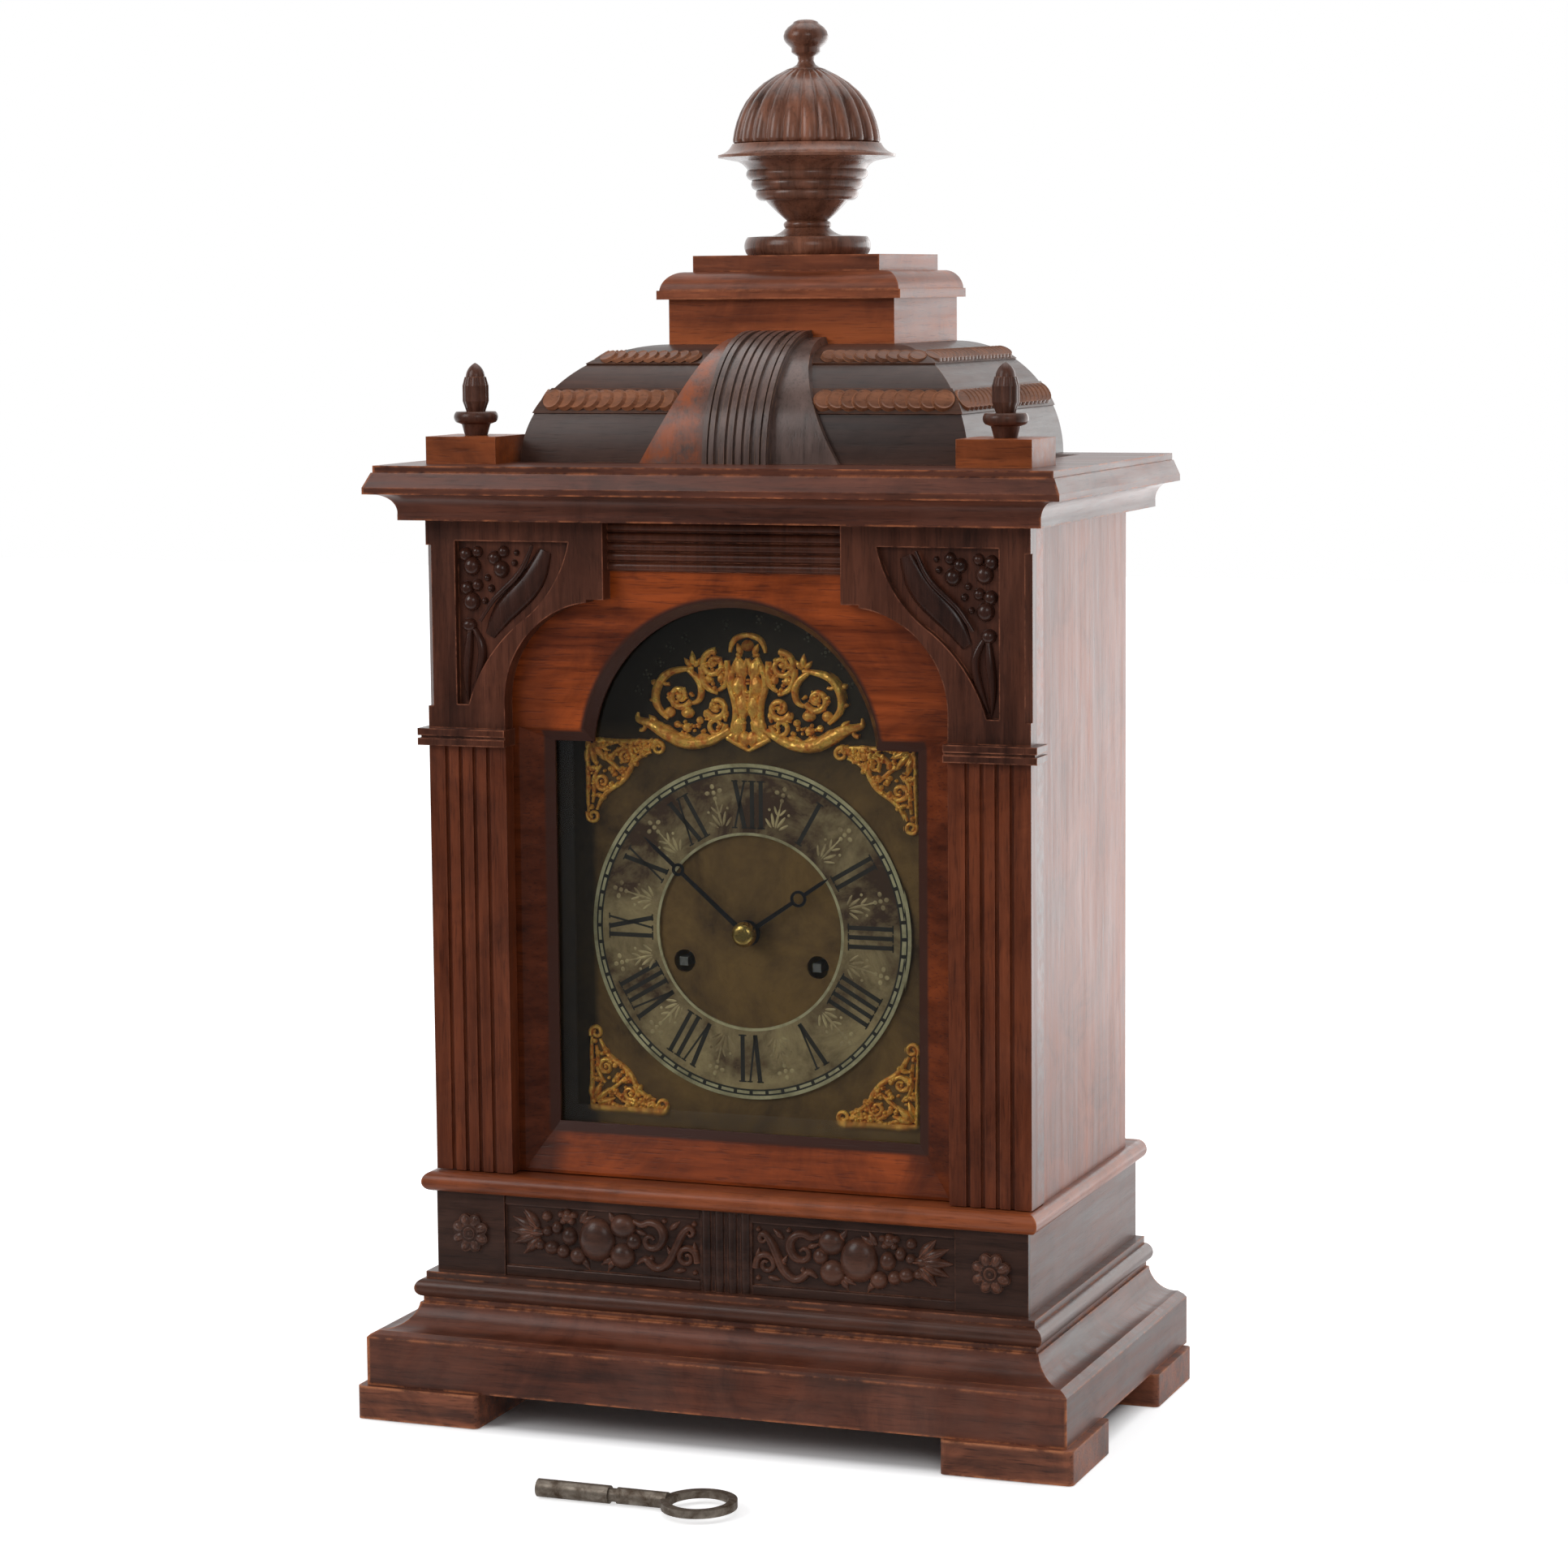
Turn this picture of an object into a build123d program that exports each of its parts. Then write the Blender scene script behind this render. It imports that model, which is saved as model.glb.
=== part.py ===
from build123d import *
import math
import os

# Arched-dial bracket clock in a carved walnut case, with its winding key lying in front of it.
# Millimetres. +Z is up, the dial looks along -Y, and X = 0 is the clock's plane of symmetry.
# The origin is on the floor, in the middle of the space that the clock and its key take up.
# Depths are counted forward from the flat back of the case, and heights up from the floor.

# Case body
case_half = 136.5
case_depth = 162.5
board = 12.0
frame_wood = 20.0

# Heights of the stacked parts of the case, from the floor up
foot_height = 14.6
plinth_height = 36.9
astragal_height = 11.1
pedestal_height = 35.9
waist_height = 8.7
body_height = 287.0
cornice_height = 23.8
dome_radius = 50.0
block_height = 19.6
cap_height = 11.9
slab_height = 7.1

# Mouldings, as reach beyond the face of the case
plinth_reach = 24.0
plinth_fascia = 21.3
cavetto_foot_reach = 20.0
cavetto_head_reach = 6.2
neck_reach = 5.0
neck_height = 2.5
astragal_reach = 8.2
astragal_bead = 8.0
astragal_fillet_reach = 4.0
waist_reach = 5.2
cornice_foot_reach = 8.7
cornice_foot_height = 2.3
cornice_cove_reach = 15.5
cornice_cove_height = 8.9
cornice_lip_reach = 20.0
cornice_lip_height = 3.2
cornice_top_reach = 16.4
cornice_top_height = 3.0

# Feet
foot_proud = 3.5
foot_width = 58.0
foot_length = 55.0
foot_rounding = 2.5
foot_set_in = 5.0

# Top of the case
block_half = 52.5
dome_set_back = 27.0
cap_reach = 4.2
cap_fascia = 3.9
slab_half = 43.5
slab_set_back = 6.5
corner_block = 33.0
corner_block_height = 11.8
corner_block_x = 120.8
corner_block_set_back = 21.0
dome_wall = 14.0
deck_thickness = 8.0
band_proud = 0.7
band_angles = ((24.8, 38.9), (56.3, 67.8))
band_sink = 0.8
strap_half = 15.0
strap_proud_low = 6.5
strap_proud_high = 4.5
strap_rib_proud = 1.4
strap_ribs = ((-14.6, 2.2), (-11.6, 2.2), (-7.0, 2.6), (-3.2, 2.6), (0.6, 2.6), (4.4, 2.6), (9.4, 2.2), (12.4, 2.2))
pad_half_low = 45.5
pad_half_mid = 31.5
pad_half_high = 21.0
pad_proud = 3.0

# Crowning finial, radii by height above the slab
finial_set_back = 34.5
urn_base_radius = 28.0
urn_base_height = 8.0
urn_neck_radius = 8.9
urn_cup_radius = 26.2
urn_brim_radius = 39.2
urn_seat_radius = 32.9
urn_height = 48.8
lid_flutes = 16
lid_flute_depth = 1.5
lid_height = 32.6
knob_radius = 9.9
knob_height = 21.5

# Corner finials
bud_pot_radius = 6.3
bud_pot_height = 5.7
bud_flange_radius = 9.6
bud_flange_height = 4.6
bud_radius = 5.7
bud_height = 15.0
bud_tip_height = 6.1
bud_flutes = 8
bud_flute_depth = 0.6

# Front door
door_overhang = 0.8
door_gap = 0.5
door_set_in = 2.5
overlay_thickness = 8.0
bevel_drop = 5.5
rebate_wood = 3.8
swing_gap = 1.0
window_half = 83.4
window_sill = 22.8
window_shoulder = 190.8
arch_radius = 65.2
arch_centre = 184.8
bevel_side = 14.6
bevel_foot = 21.0
bevel_shoulder = 6.0
bevel_arch = 3.5
pilaster_width = 36.4
pilaster_drop = 98.2
flute_width = 2.0
flute_depth = 1.5
flute_count = 4
flute_margin = 7.4
capital_reach = 3.8
capital_height = 7.4
capital_return = 15.0
spandrel_half = 54.0
spandrel_arc = 44.0
spandrel_arc_x = 57.0
spandrel_arc_drop = 78.7
spandrel_step_x = 62.0
spandrel_step_drop = 33.7
spandrel_recess = 3.2
recess_corner_x = 123.5
recess_tip_x = 70.0
recess_head_drop = 9.2
recess_foot_x = 118.0
recess_foot_drop = 80.2
chamfer_size = 2.5
chamfer_low_drop = 81.2
chamfer_high_drop = 11.2
tablet_height = 21.2
tablet_reeds = 5
reed_backing = 1.2
glass_thickness = 2.4
glass_bevel_depth = 0.8
glass_bevel_width = 7.0
glass_lap = 3.5
glass_play = 0.3
pin_radius = 1.5
pin_inset = 3.0
pin_from_front = 4.5
pin_in_door = 12.0
pin_in_case = 7.0
running_clearance = 0.05

# Back door
back_door_half = 131.0
back_door_thickness = 12.0
back_door_set_in = 4.2
back_door_gap = 0.8
back_border = 26.0
back_panel_sink = 2.0
back_pin_from_front = 7.0
back_knob_x = 117.0
back_knob_radius = 7.0
back_knob_reach = 12.0

# Applied carving on the pedestal
rosette_block = 32.5
rosette_proud = 3.0
rosette_radius = 8.7
rosette_petals = 8
rosette_relief = 1.6
tablet_half = 12.0
frieze_ribs = 4
frieze_rib_width = 4.2
panel_strip = 4.4
panel_strip_proud = 2.4
panel_ground = 1.0
fruit_rise = 2.4
fruits = ((32.0, 17.0, 7.5), (44.0, 20.5, 6.0), (46.0, 12.5, 5.5), (56.5, 17.0, 8.5), (69.0, 12.5, 6.0),
          (70.5, 21.5, 5.5), (80.0, 16.5, 6.5), (90.0, 20.0, 4.5), (91.5, 12.5, 4.5))

# Dial
dial_centre = 107.8
dial_half = 92.0
dial_foot = 14.8
dial_shoulder = 192.8
dial_arch_radius = 72.0
dial_plate_thickness = 2.0
dial_behind_door = 14.9
ring_outer = 73.6
ring_inner = 42.3
ring_thickness = 1.2
corner_ornament_x = 77.0
corner_ornament_z = 83.0
corner_ornament_leg = 38.0
ornament_thickness = 1.6
arch_ornament_half = 54.0
arch_ornament_rise = 129.0
arch_ornament_height = 50.0
dial_foot_radius = 2.5
dial_foot_x = 58.0
dial_foot_z = (47.0, -43.0)

# Hands, set to eight minutes to two
minute_angle = 311.0
hour_angle = 56.0
minute_reach = 62.0
hour_reach = 46.0
hand_thickness = 0.8
hand_width = 1.6
hour_hand_stand = 3.4
minute_hand_stand = 6.4
nut_radius = 5.5
nut_height = 4.5

# Movement
plate_half = 66.0
plate_foot = 55.0
plate_head = 75.0
plate_thickness = 2.5
dial_to_plate = 9.8
plate_gap = 43.5
pillar_radius = 4.0
pillar_inset = 8.0
seat_thickness = 12.0
seat_front_lap = 6.0
seat_back_lap = 1.5
rail_thickness = 14.0
tooth_rise = 0.7
tooth_fall = 1.15
tooth_share = 0.40
tooth_tip_share = 0.20
wheel_thickness = 2.0
pinion_length = 3.0
arbor_radius = 2.0
thin_arbor_radius = 1.5
barrel_x = 31.0
barrel_drop = 14.2
barrel_teeth = 48
train_pinion_teeth = 8
barrel_radius = 27.0
barrel_length = 27.0
barrel_wheel_thickness = 3.0
winding_arbor_radius = 3.0
winding_square = 3.8
winding_hole_radius = 5.0
centre_wheel_teeth = 48
centre_wheel_module = 0.9
third_wheel_teeth = 40
fine_module = 0.8
third_x = -16.0
escape_teeth = 30
escape_radius = 15.0
anchor_drop = 21.0
pallet_clearance = 1.4
cannon_teeth = 12
minute_wheel_teeth = 36
minute_pinion_teeth = 10
hour_wheel_teeth = 40
motion_distance = 15.0
pipe_wall = 1.0
strike_wheel_teeth = 40
strike_turn = 78.0
fly_turn = 115.0
fly_reach = 12.0
fly_length = 18.0
cock_reach = 19.0
crutch_length = 40.0
fork_play = 0.4
rod_radius = 1.5
pendulum_stand = 12.5
pendulum_length = 126.0
eye_half_width = 2.0
bob_radius = 17.0
bob_thickness = 9.0
hammer_x = 52.0
hammer_drop = 40.0
hammer_head_x = 62.0
hammer_head_drop = 76.0
hammer_head_radius = 5.0
hammer_rest_gap = 1.0
gong_rod_height = 205.0
gong_rod_spacing = 12.0
gong_block_size = 26.0
gong_block_height = 20.0

# Winding key
key_gap = 84.0
key_start = -39.4
key_pipe_radius = 3.75
key_pipe_length = 32.0
key_waist_radius = 2.8
key_waist_length = 3.5
key_stem_radius = 3.4
key_stem_length = 22.0
bow_length = 31.0
bow_width = 33.0
bow_stock = 3.6
bow_thickness = 3.2
key_square = 4.0
key_square_depth = 14.0

# Places that follow from the sizes above
foot_front_depth = case_depth + plinth_reach + foot_proud
knob_proud = back_knob_reach - back_door_set_in
back = (foot_front_depth + key_gap + bow_width / 2 - knob_proud) / 2
key_y = bow_width / 2 - back - knob_proud
plinth_low = foot_height
astragal_low = plinth_low + plinth_height
pedestal_low = astragal_low + astragal_height
waist_low = pedestal_low + pedestal_height
body_low = waist_low + waist_height
cornice_low = body_low + body_height
deck_level = cornice_low + cornice_height
block_low = deck_level + dome_radius
cap_low = block_low + block_height
slab_low = cap_low + cap_height
finial_low = slab_low + slab_height
dome_half = block_half + dome_radius
dome_depth = case_depth - dome_set_back
block_depth = dome_depth - dome_radius
slab_depth = block_depth - slab_set_back
finial_depth = block_depth - finial_set_back
corner_block_depth = case_depth - corner_block_set_back
door_half = case_half + door_overhang
door_front_depth = case_depth - door_set_in
door_field_depth = door_front_depth - overlay_thickness
door_rebate_depth = door_field_depth - bevel_drop
door_back_depth = door_rebate_depth - rebate_wood
pin_depth = door_front_depth - pin_from_front
door_low = body_low + door_gap
door_high = cornice_low - door_gap
side_front_depth = door_back_depth - swing_gap
back_door_front = back_door_set_in + back_door_thickness
side_back_depth = back_door_front + back_door_gap
dial_z = body_low + dial_centre
dial_front_depth = door_back_depth - dial_behind_door
dial_back_depth = dial_front_depth - dial_plate_thickness
ring_front_depth = dial_front_depth + ring_thickness
front_plate_front = dial_back_depth - dial_to_plate
front_plate_back = front_plate_front - plate_thickness
back_plate_front = front_plate_back - plate_gap
back_plate_back = back_plate_front - plate_thickness
seat_front_depth = front_plate_front + seat_front_lap
seat_back_depth = back_plate_back - seat_back_lap
nodes = {}


def at(depth):
    """Y of a depth counted forward from the back of the case."""
    return back - depth


def outline(start, *moves):
    """A closed flat face. Each move is a point for a line, or two points for an arc through the first."""
    edges = []
    here = start
    for move in moves:
        if isinstance(move[0], tuple):
            edges.append(ThreePointArc(here, move[0], move[1]).edge())
            here = move[1]
        else:
            edges.append(Line(here, move).edge())
            here = move
    if math.dist(here, start) > 1e-6:
        edges.append(Line(here, start).edge())
    return make_face(edges)


def slab(x_low, x_high, rear, front, z_low, z_high):
    """A board between two X values, two depths and two heights."""
    size = (x_high - x_low, front - rear, z_high - z_low)
    return Pos((x_low + x_high) / 2, at((rear + front) / 2), (z_low + z_high) / 2) * Box(*size)


def upright(face, rear, front):
    """A flat piece drawn in X and Z, standing between two depths."""
    return Pos(0, at(rear), 0) * extrude(Plane.XZ * face, amount=front - rear)


def across(face, x_low, x_high):
    """A length drawn in Y and Z, running between two X values."""
    return Pos(x_low, 0, 0) * extrude(Plane.YZ * face, amount=x_high - x_low)


def pivot(radius, rear, front, x=0.0, z=0.0):
    """A round piece lying front to back."""
    return Pos(x, at((rear + front) / 2), z) * Rot(90, 0, 0) * Cylinder(radius, front - rear)


def upright_pin(radius, low, high, x, depth):
    """A round pin standing upright."""
    return Pos(x, at(depth), (low + high) / 2) * Cylinder(radius, high - low)


def turned(face, x, depth, z):
    """A turned piece, from a half profile drawn in radius and height."""
    return Pos(x, at(depth), z) * revolve(Plane.XZ * face, Axis.Z, 360)


def both(shape):
    """The right-hand piece and its mirror image."""
    return group(shape, mirror(shape, about=Plane.YZ))


def group(*shapes):
    """Separate solids of one node."""
    return Compound(children=[solid for shape in shapes for solid in shape.solids()])


def run_front(section, half, depth, reach):
    """A moulding length across the front, as wide as its reach needs."""
    plane = Plane(origin=(half + reach, at(depth), 0), x_dir=(0, -1, 0), z_dir=(-1, 0, 0))
    return extrude(plane * section, amount=2 * (half + reach))


def run_side(section, half, depth, reach):
    """A moulding length along the right-hand side, from the back plane to past the front."""
    plane = Plane(origin=(half, back, 0), x_dir=(1, 0, 0), z_dir=(0, -1, 0))
    return extrude(plane * section, amount=depth + reach)


def mitred_frame(section, half, depth, wood, reach, low, high):
    """Front and side lengths mitred at the corners, with a plain rail between them at the back."""
    tall = high - low + 2
    front_plan = outline(
        (-half - reach, at(depth + reach)), (half + reach, at(depth + reach)),
        (half - wood, at(depth - wood)), (wood - half, at(depth - wood)),
    )
    side_plan = outline(
        (half - wood, at(0)), (half - wood, at(depth - wood)),
        (half + reach, at(depth + reach)), (half + reach, at(0)),
    )
    face = section(wood)
    front = run_front(face, half, depth, reach) & Pos(0, 0, low - 1) * extrude(front_plan, amount=tall)
    side = run_side(face, half, depth, reach) & Pos(0, 0, low - 1) * extrude(side_plan, amount=tall)
    rail = slab(wood - half, half - wood, 0, wood, low, high)
    return group(front, both(side), rail)


def moulded_board(section, half, depth, reach):
    """A solid board with the moulding worked on its front and sides."""
    lengthways = run_front(section(depth), half, depth, reach)
    right = run_side(section(half), half, depth, reach) & lengthways
    return right + mirror(right, about=Plane.YZ)


def lobed_face(radius, lobes, valley, z):
    """A level face with a scalloped edge."""
    low = radius - valley
    step = 2 * math.pi / lobes
    edges = []
    for count in range(lobes):
        start, middle, end = (count * step, (count + 0.5) * step, (count + 1) * step)
        edges.append(ThreePointArc(
            (low * math.cos(start), low * math.sin(start)),
            (radius * math.cos(middle), radius * math.sin(middle)),
            (low * math.cos(end), low * math.sin(end)),
        ).edge())
    return Pos(0, 0, z) * make_face(edges)


# Feet: four blocks under the corners of the plinth
foot_outer = case_half + plinth_reach + foot_proud
foot_plan = Pos(0, 0, foot_height / 2) * Box(foot_width, foot_length, foot_height)
foot = fillet(foot_plan.edges().filter_by(Axis.Z), foot_rounding)
front_foot = Pos(foot_outer - foot_width / 2, at(foot_front_depth - foot_length / 2), 0) * foot
back_foot = Pos(foot_outer - foot_width / 2, at(foot_set_in + foot_length / 2), 0) * foot
nodes["feet"] = group(both(front_foot), both(back_foot))


# Plinth: a fascia, a quirk and a hollow that draws in to the neck
def plinth_section(wood):
    quirk = plinth_low + plinth_fascia
    hollow_low = quirk + 2.6
    hollow_high = astragal_low - neck_height
    bend_reach = cavetto_foot_reach - (cavetto_foot_reach - cavetto_head_reach) * math.sin(math.pi / 4)
    bend_z = hollow_high - (hollow_high - hollow_low) * math.cos(math.pi / 4)
    return outline(
        (-wood, plinth_low), (plinth_reach, plinth_low), (plinth_reach, quirk),
        (plinth_reach - 1.3, quirk + 1.3), (cavetto_foot_reach, hollow_low),
        ((bend_reach, bend_z), (cavetto_head_reach, hollow_high)),
        (neck_reach, hollow_high), (neck_reach, astragal_low), (-wood, astragal_low),
    )


nodes["plinth"] = mitred_frame(
    plinth_section, case_half, case_depth, frame_wood, plinth_reach, plinth_low, astragal_low
)
inner_half = case_half - frame_wood
inner_front = case_depth - frame_wood
base_board = slab(-inner_half, inner_half, frame_wood, inner_front, plinth_low, plinth_low + board)


# Base bead: a half-round astragal with a fillet over it
def astragal_section(wood):
    middle = astragal_low + astragal_bead / 2
    bead_high = astragal_low + astragal_bead
    return outline(
        (-wood, astragal_low), (neck_reach, astragal_low),
        ((astragal_reach, middle), (neck_reach, bead_high)),
        (astragal_fillet_reach, bead_high), (astragal_fillet_reach, pedestal_low), (-wood, pedestal_low),
    )


nodes["base_bead"] = mitred_frame(
    astragal_section, case_half, case_depth, frame_wood, astragal_reach, astragal_low, pedestal_low
)

# Pedestal: four boards, the front one set back behind its applied carving
ground_depth = case_depth - rosette_proud
pedestal_side = slab(case_half - board, case_half, 0, ground_depth, pedestal_low, waist_low)
nodes["pedestal"] = group(
    slab(board - case_half, case_half - board, ground_depth - board, ground_depth, pedestal_low, waist_low),
    slab(board - case_half, case_half - board, 0, board, pedestal_low, waist_low),
    both(pedestal_side),
)

# Corner blocks of the pedestal, each with a carved rosette
rosette_x = case_half - rosette_block / 2
rosette_z = pedestal_low + pedestal_height / 2
rosette = extrude(lobed_face(rosette_radius, rosette_petals, 1.6, 0), amount=rosette_relief)
rosette += extrude(lobed_face(rosette_radius * 0.55, rosette_petals, 0.7, 0), amount=rosette_relief * 1.35)
rosette += Cylinder(rosette_radius * 0.22, 2 * rosette_relief * 1.7)
rosette &= Pos(0, 0, rosette_relief) * Box(2 * rosette_radius, 2 * rosette_radius, 2 * rosette_relief)
rosette = Pos(rosette_x, at(case_depth), rosette_z) * Rot(90, 0, 0) * rosette
rosette_square = slab(
    case_half - rosette_block, case_half, ground_depth, case_depth, pedestal_low, waist_low
)
nodes["rosette_blocks"] = both(rosette_square + rosette)

# Centre tablet of the pedestal, with upright reeds
tablet = slab(-tablet_half, tablet_half, ground_depth, case_depth - frieze_rib_width / 4, pedestal_low, waist_low)
for count in range(frieze_ribs):
    rib_x = (count - (frieze_ribs - 1) / 2) * 2 * tablet_half / frieze_ribs
    rib_face = outline(
        (rib_x - frieze_rib_width / 2, at(case_depth - frieze_rib_width / 4)),
        ((rib_x, at(case_depth + 0.4)), (rib_x + frieze_rib_width / 2, at(case_depth - frieze_rib_width / 4))),
    )
    tablet += Pos(0, 0, pedestal_low) * extrude(rib_face, amount=pedestal_height)
nodes["frieze_tablet"] = tablet

# Carved fruit panels between the tablet and the corner blocks
panel_low = tablet_half
panel_high = case_half - rosette_block
panel = slab(panel_low, panel_high, ground_depth, ground_depth + panel_ground, pedestal_low, waist_low)
for strip_low in (pedestal_low, waist_low - panel_strip):
    panel += slab(
        panel_low, panel_high, ground_depth, ground_depth + panel_strip_proud, strip_low, strip_low + panel_strip
    )
for fruit_x, fruit_z, fruit_radius in fruits:
    ball_radius = (fruit_radius ** 2 + fruit_rise ** 2) / (2 * fruit_rise)
    cap_face = outline(
        (0, 0), (fruit_radius, 0),
        ((ball_radius * math.sin(0.5 * math.asin(fruit_radius / ball_radius)),
          fruit_rise - ball_radius * (1 - math.cos(0.5 * math.asin(fruit_radius / ball_radius)))),
         (0, fruit_rise)),
    )
    cap = Rot(90, 0, 0) * revolve(Plane.XZ * cap_face, Axis.Z, 360)
    panel += Pos(fruit_x, at(ground_depth + panel_ground), pedestal_low + fruit_z) * cap
nodes["fruit_panels"] = both(panel)


# Waist board: the floor of the case, with a half-round nose
def waist_section(wood):
    nose = waist_height / 2
    return outline(
        (-wood, waist_low), (waist_reach - nose, waist_low),
        ((waist_reach, waist_low + nose), (waist_reach - nose, body_low)), (-wood, body_low),
    )


waist_board = moulded_board(waist_section, case_half, case_depth, waist_reach)

# Body of the case: two side panels on the waist board
nodes["side_panels"] = both(
    slab(case_half - board, case_half, side_back_depth, side_front_depth, body_low, cornice_low)
)


# Cornice: a cove under a lip, with a slope back to the top fascia
def cornice_section(wood):
    cove_low = cornice_low + cornice_foot_height
    cove_high = cove_low + cornice_cove_height
    lip_high = cove_high + cornice_lip_height
    slope_high = deck_level - cornice_top_height
    cove_width = cornice_cove_reach - cornice_foot_reach
    bend = (
        cornice_foot_reach + cove_width * (1 - math.cos(math.pi / 4)),
        cove_low + cornice_cove_height * math.sin(math.pi / 4),
    )
    return outline(
        (-wood, cornice_low), (cornice_foot_reach, cornice_low), (cornice_foot_reach, cove_low),
        (bend, (cornice_cove_reach, cove_high)), (cornice_lip_reach, cove_high + 0.4),
        (cornice_lip_reach, lip_high), (cornice_top_reach + 0.6, slope_high),
        (cornice_top_reach, slope_high), (cornice_top_reach, deck_level), (-wood, deck_level),
    )


cornice = mitred_frame(
    cornice_section, case_half, case_depth, frame_wood, cornice_lip_reach, cornice_low, deck_level
)
deck_board = slab(-inner_half, inner_half, frame_wood, inner_front, deck_level - deck_thickness, deck_level)
nodes["inner_boards"] = group(base_board, deck_board)

# Corner blocks on the cornice, with bud finials
nodes["corner_blocks"] = both(
    slab(
        corner_block_x - corner_block / 2, corner_block_x + corner_block / 2,
        corner_block_depth - corner_block / 2, corner_block_depth + corner_block / 2,
        deck_level, deck_level + corner_block_height,
    )
)
flange_low = bud_pot_height
flange_high = flange_low + bud_flange_height
bud_high = flange_high + bud_height
pot_face = outline(
    (0, 0), (bud_pot_radius * 0.78, 0), (bud_pot_radius, flange_low - 0.8),
    (bud_flange_radius - 1, flange_low), ((bud_flange_radius, (flange_low + flange_high) / 2),
                                          (bud_flange_radius - 1, flange_high)),
    (0, flange_high),
)
bud = revolve(Plane.XZ * pot_face, Axis.Z, 360)
bud += loft([
    lobed_face(bud_radius * 0.72, bud_flutes, bud_flute_depth, flange_high),
    lobed_face(bud_radius, bud_flutes, bud_flute_depth, flange_high + bud_height * 0.3),
    lobed_face(bud_radius, bud_flutes, bud_flute_depth, flange_high + bud_height * 0.75),
    lobed_face(bud_radius * 0.82, bud_flutes, bud_flute_depth, bud_high),
], ruled=True)
tip_face = outline(
    (0, bud_high), (bud_radius * 0.74, bud_high),
    ((bud_radius * 0.5, bud_high + bud_tip_height * 0.62), (0, bud_high + bud_tip_height)),
)
bud += revolve(Plane.XZ * tip_face, Axis.Z, 360)
nodes["corner_finials"] = both(
    Pos(corner_block_x, at(corner_block_depth), deck_level + corner_block_height) * bud
)


# Cushion top: a quarter round on the front and both sides, hollow underneath, worked with its foot at zero
def band_section(low_angle, high_angle, inner, outer):
    """A strip of the quarter round between two angles and two radii."""
    low, middle, high = (math.radians(a) for a in (low_angle, (low_angle + high_angle) / 2, high_angle))

    def spot(radius, angle):
        return (radius * math.cos(angle) - dome_radius, radius * math.sin(angle))

    return outline(
        spot(inner, low), spot(outer, low), (spot(outer, middle), spot(outer, high)),
        spot(inner, high), (spot(inner, middle), spot(inner, low)),
    )


def band_run(low_angle, high_angle):
    """One carved strip along the front and both sides, mitred at the corners."""
    section = band_section(low_angle, high_angle, dome_radius - band_sink, dome_radius + band_proud)
    drawn_in = dome_radius
    reach = band_proud
    front_plan = outline(
        (-dome_half - reach, at(dome_depth + reach)), (dome_half + reach, at(dome_depth + reach)),
        (dome_half - drawn_in, at(dome_depth - drawn_in)), (drawn_in - dome_half, at(dome_depth - drawn_in)),
    )
    side_plan = outline(
        (dome_half - drawn_in, at(0)), (dome_half - drawn_in, at(dome_depth - drawn_in)),
        (dome_half + reach, at(dome_depth + reach)), (dome_half + reach, at(0)),
    )
    front_prism = extrude(front_plan, amount=2 * dome_radius)
    side_prism = extrude(side_plan, amount=2 * dome_radius)
    front = run_front(section, dome_half, dome_depth, reach) & front_prism
    side = run_side(section, dome_half, dome_depth, reach) & side_prism
    return front, side


def strap_bar(x_low, x_high, proud_low, proud_high, sink, foot):
    """A bar bent over the front of the cushion top, from a foot level up to the caddy block."""
    bend = math.sqrt(0.5)
    base = dome_radius - sink
    centre_y = at(block_depth)
    face = outline(
        (centre_y - base, foot), (centre_y - dome_radius - proud_low, foot),
        ((centre_y - (dome_radius + proud_low) * bend, foot + (dome_radius + proud_high) * bend),
         (centre_y, foot + dome_radius + proud_high)),
        (centre_y, foot + base),
        ((centre_y - base * bend, foot + base * bend), (centre_y - base, foot)),
    )
    return across(face, x_low, x_high)


def pad_view(foot):
    """The two flanks of the strap, seen from the front."""
    return outline(
        (-pad_half_low, foot), (pad_half_low, foot),
        ((pad_half_mid, foot + dome_radius * 0.53), (pad_half_high, foot + dome_radius + pad_proud)),
        (-pad_half_high, foot + dome_radius + pad_proud),
        ((-pad_half_mid, foot + dome_radius * 0.53), (-pad_half_low, foot)),
    )


strap = strap_bar(-strap_half, strap_half, strap_proud_low, strap_proud_high, 0, deck_level)
for rib_low, rib_width in strap_ribs:
    strap += strap_bar(
        rib_low, rib_low + rib_width, strap_proud_low + strap_rib_proud, strap_proud_high + strap_rib_proud, 0,
        deck_level,
    )
pad = strap_bar(-pad_half_low, pad_half_low, pad_proud, pad_proud, 0, deck_level)
pad &= upright(pad_view(deck_level), block_depth, dome_depth + 2 * pad_proud)
strap += pad
strap_space = strap_bar(-pad_half_low, pad_half_low, pad_proud, pad_proud, band_sink, 0)
strap_space &= upright(pad_view(0), block_depth, dome_depth + 2 * pad_proud)
half_bend = dome_radius * math.sqrt(0.5)
quarter = outline((-dome_radius, 0), (0, 0), ((half_bend - dome_radius, half_bend), (-dome_radius, dome_radius)))
front_plan = outline(
    (-dome_half, at(dome_depth)), (dome_half, at(dome_depth)), (block_half, at(block_depth)),
    (-block_half, at(block_depth)),
)
side_plan = outline(
    (block_half, at(0)), (block_half, at(block_depth)), (dome_half, at(dome_depth)), (dome_half, at(0))
)
front_curve = run_front(quarter, dome_half, dome_depth, 0) & extrude(front_plan, amount=2 * dome_radius)
side_curve = run_side(quarter, dome_half, dome_depth, 0) & extrude(side_plan, amount=2 * dome_radius)
dome = slab(-block_half, block_half, 0, block_depth, 0, dome_radius)
dome = dome + front_curve + side_curve + mirror(side_curve, about=Plane.YZ)
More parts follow.
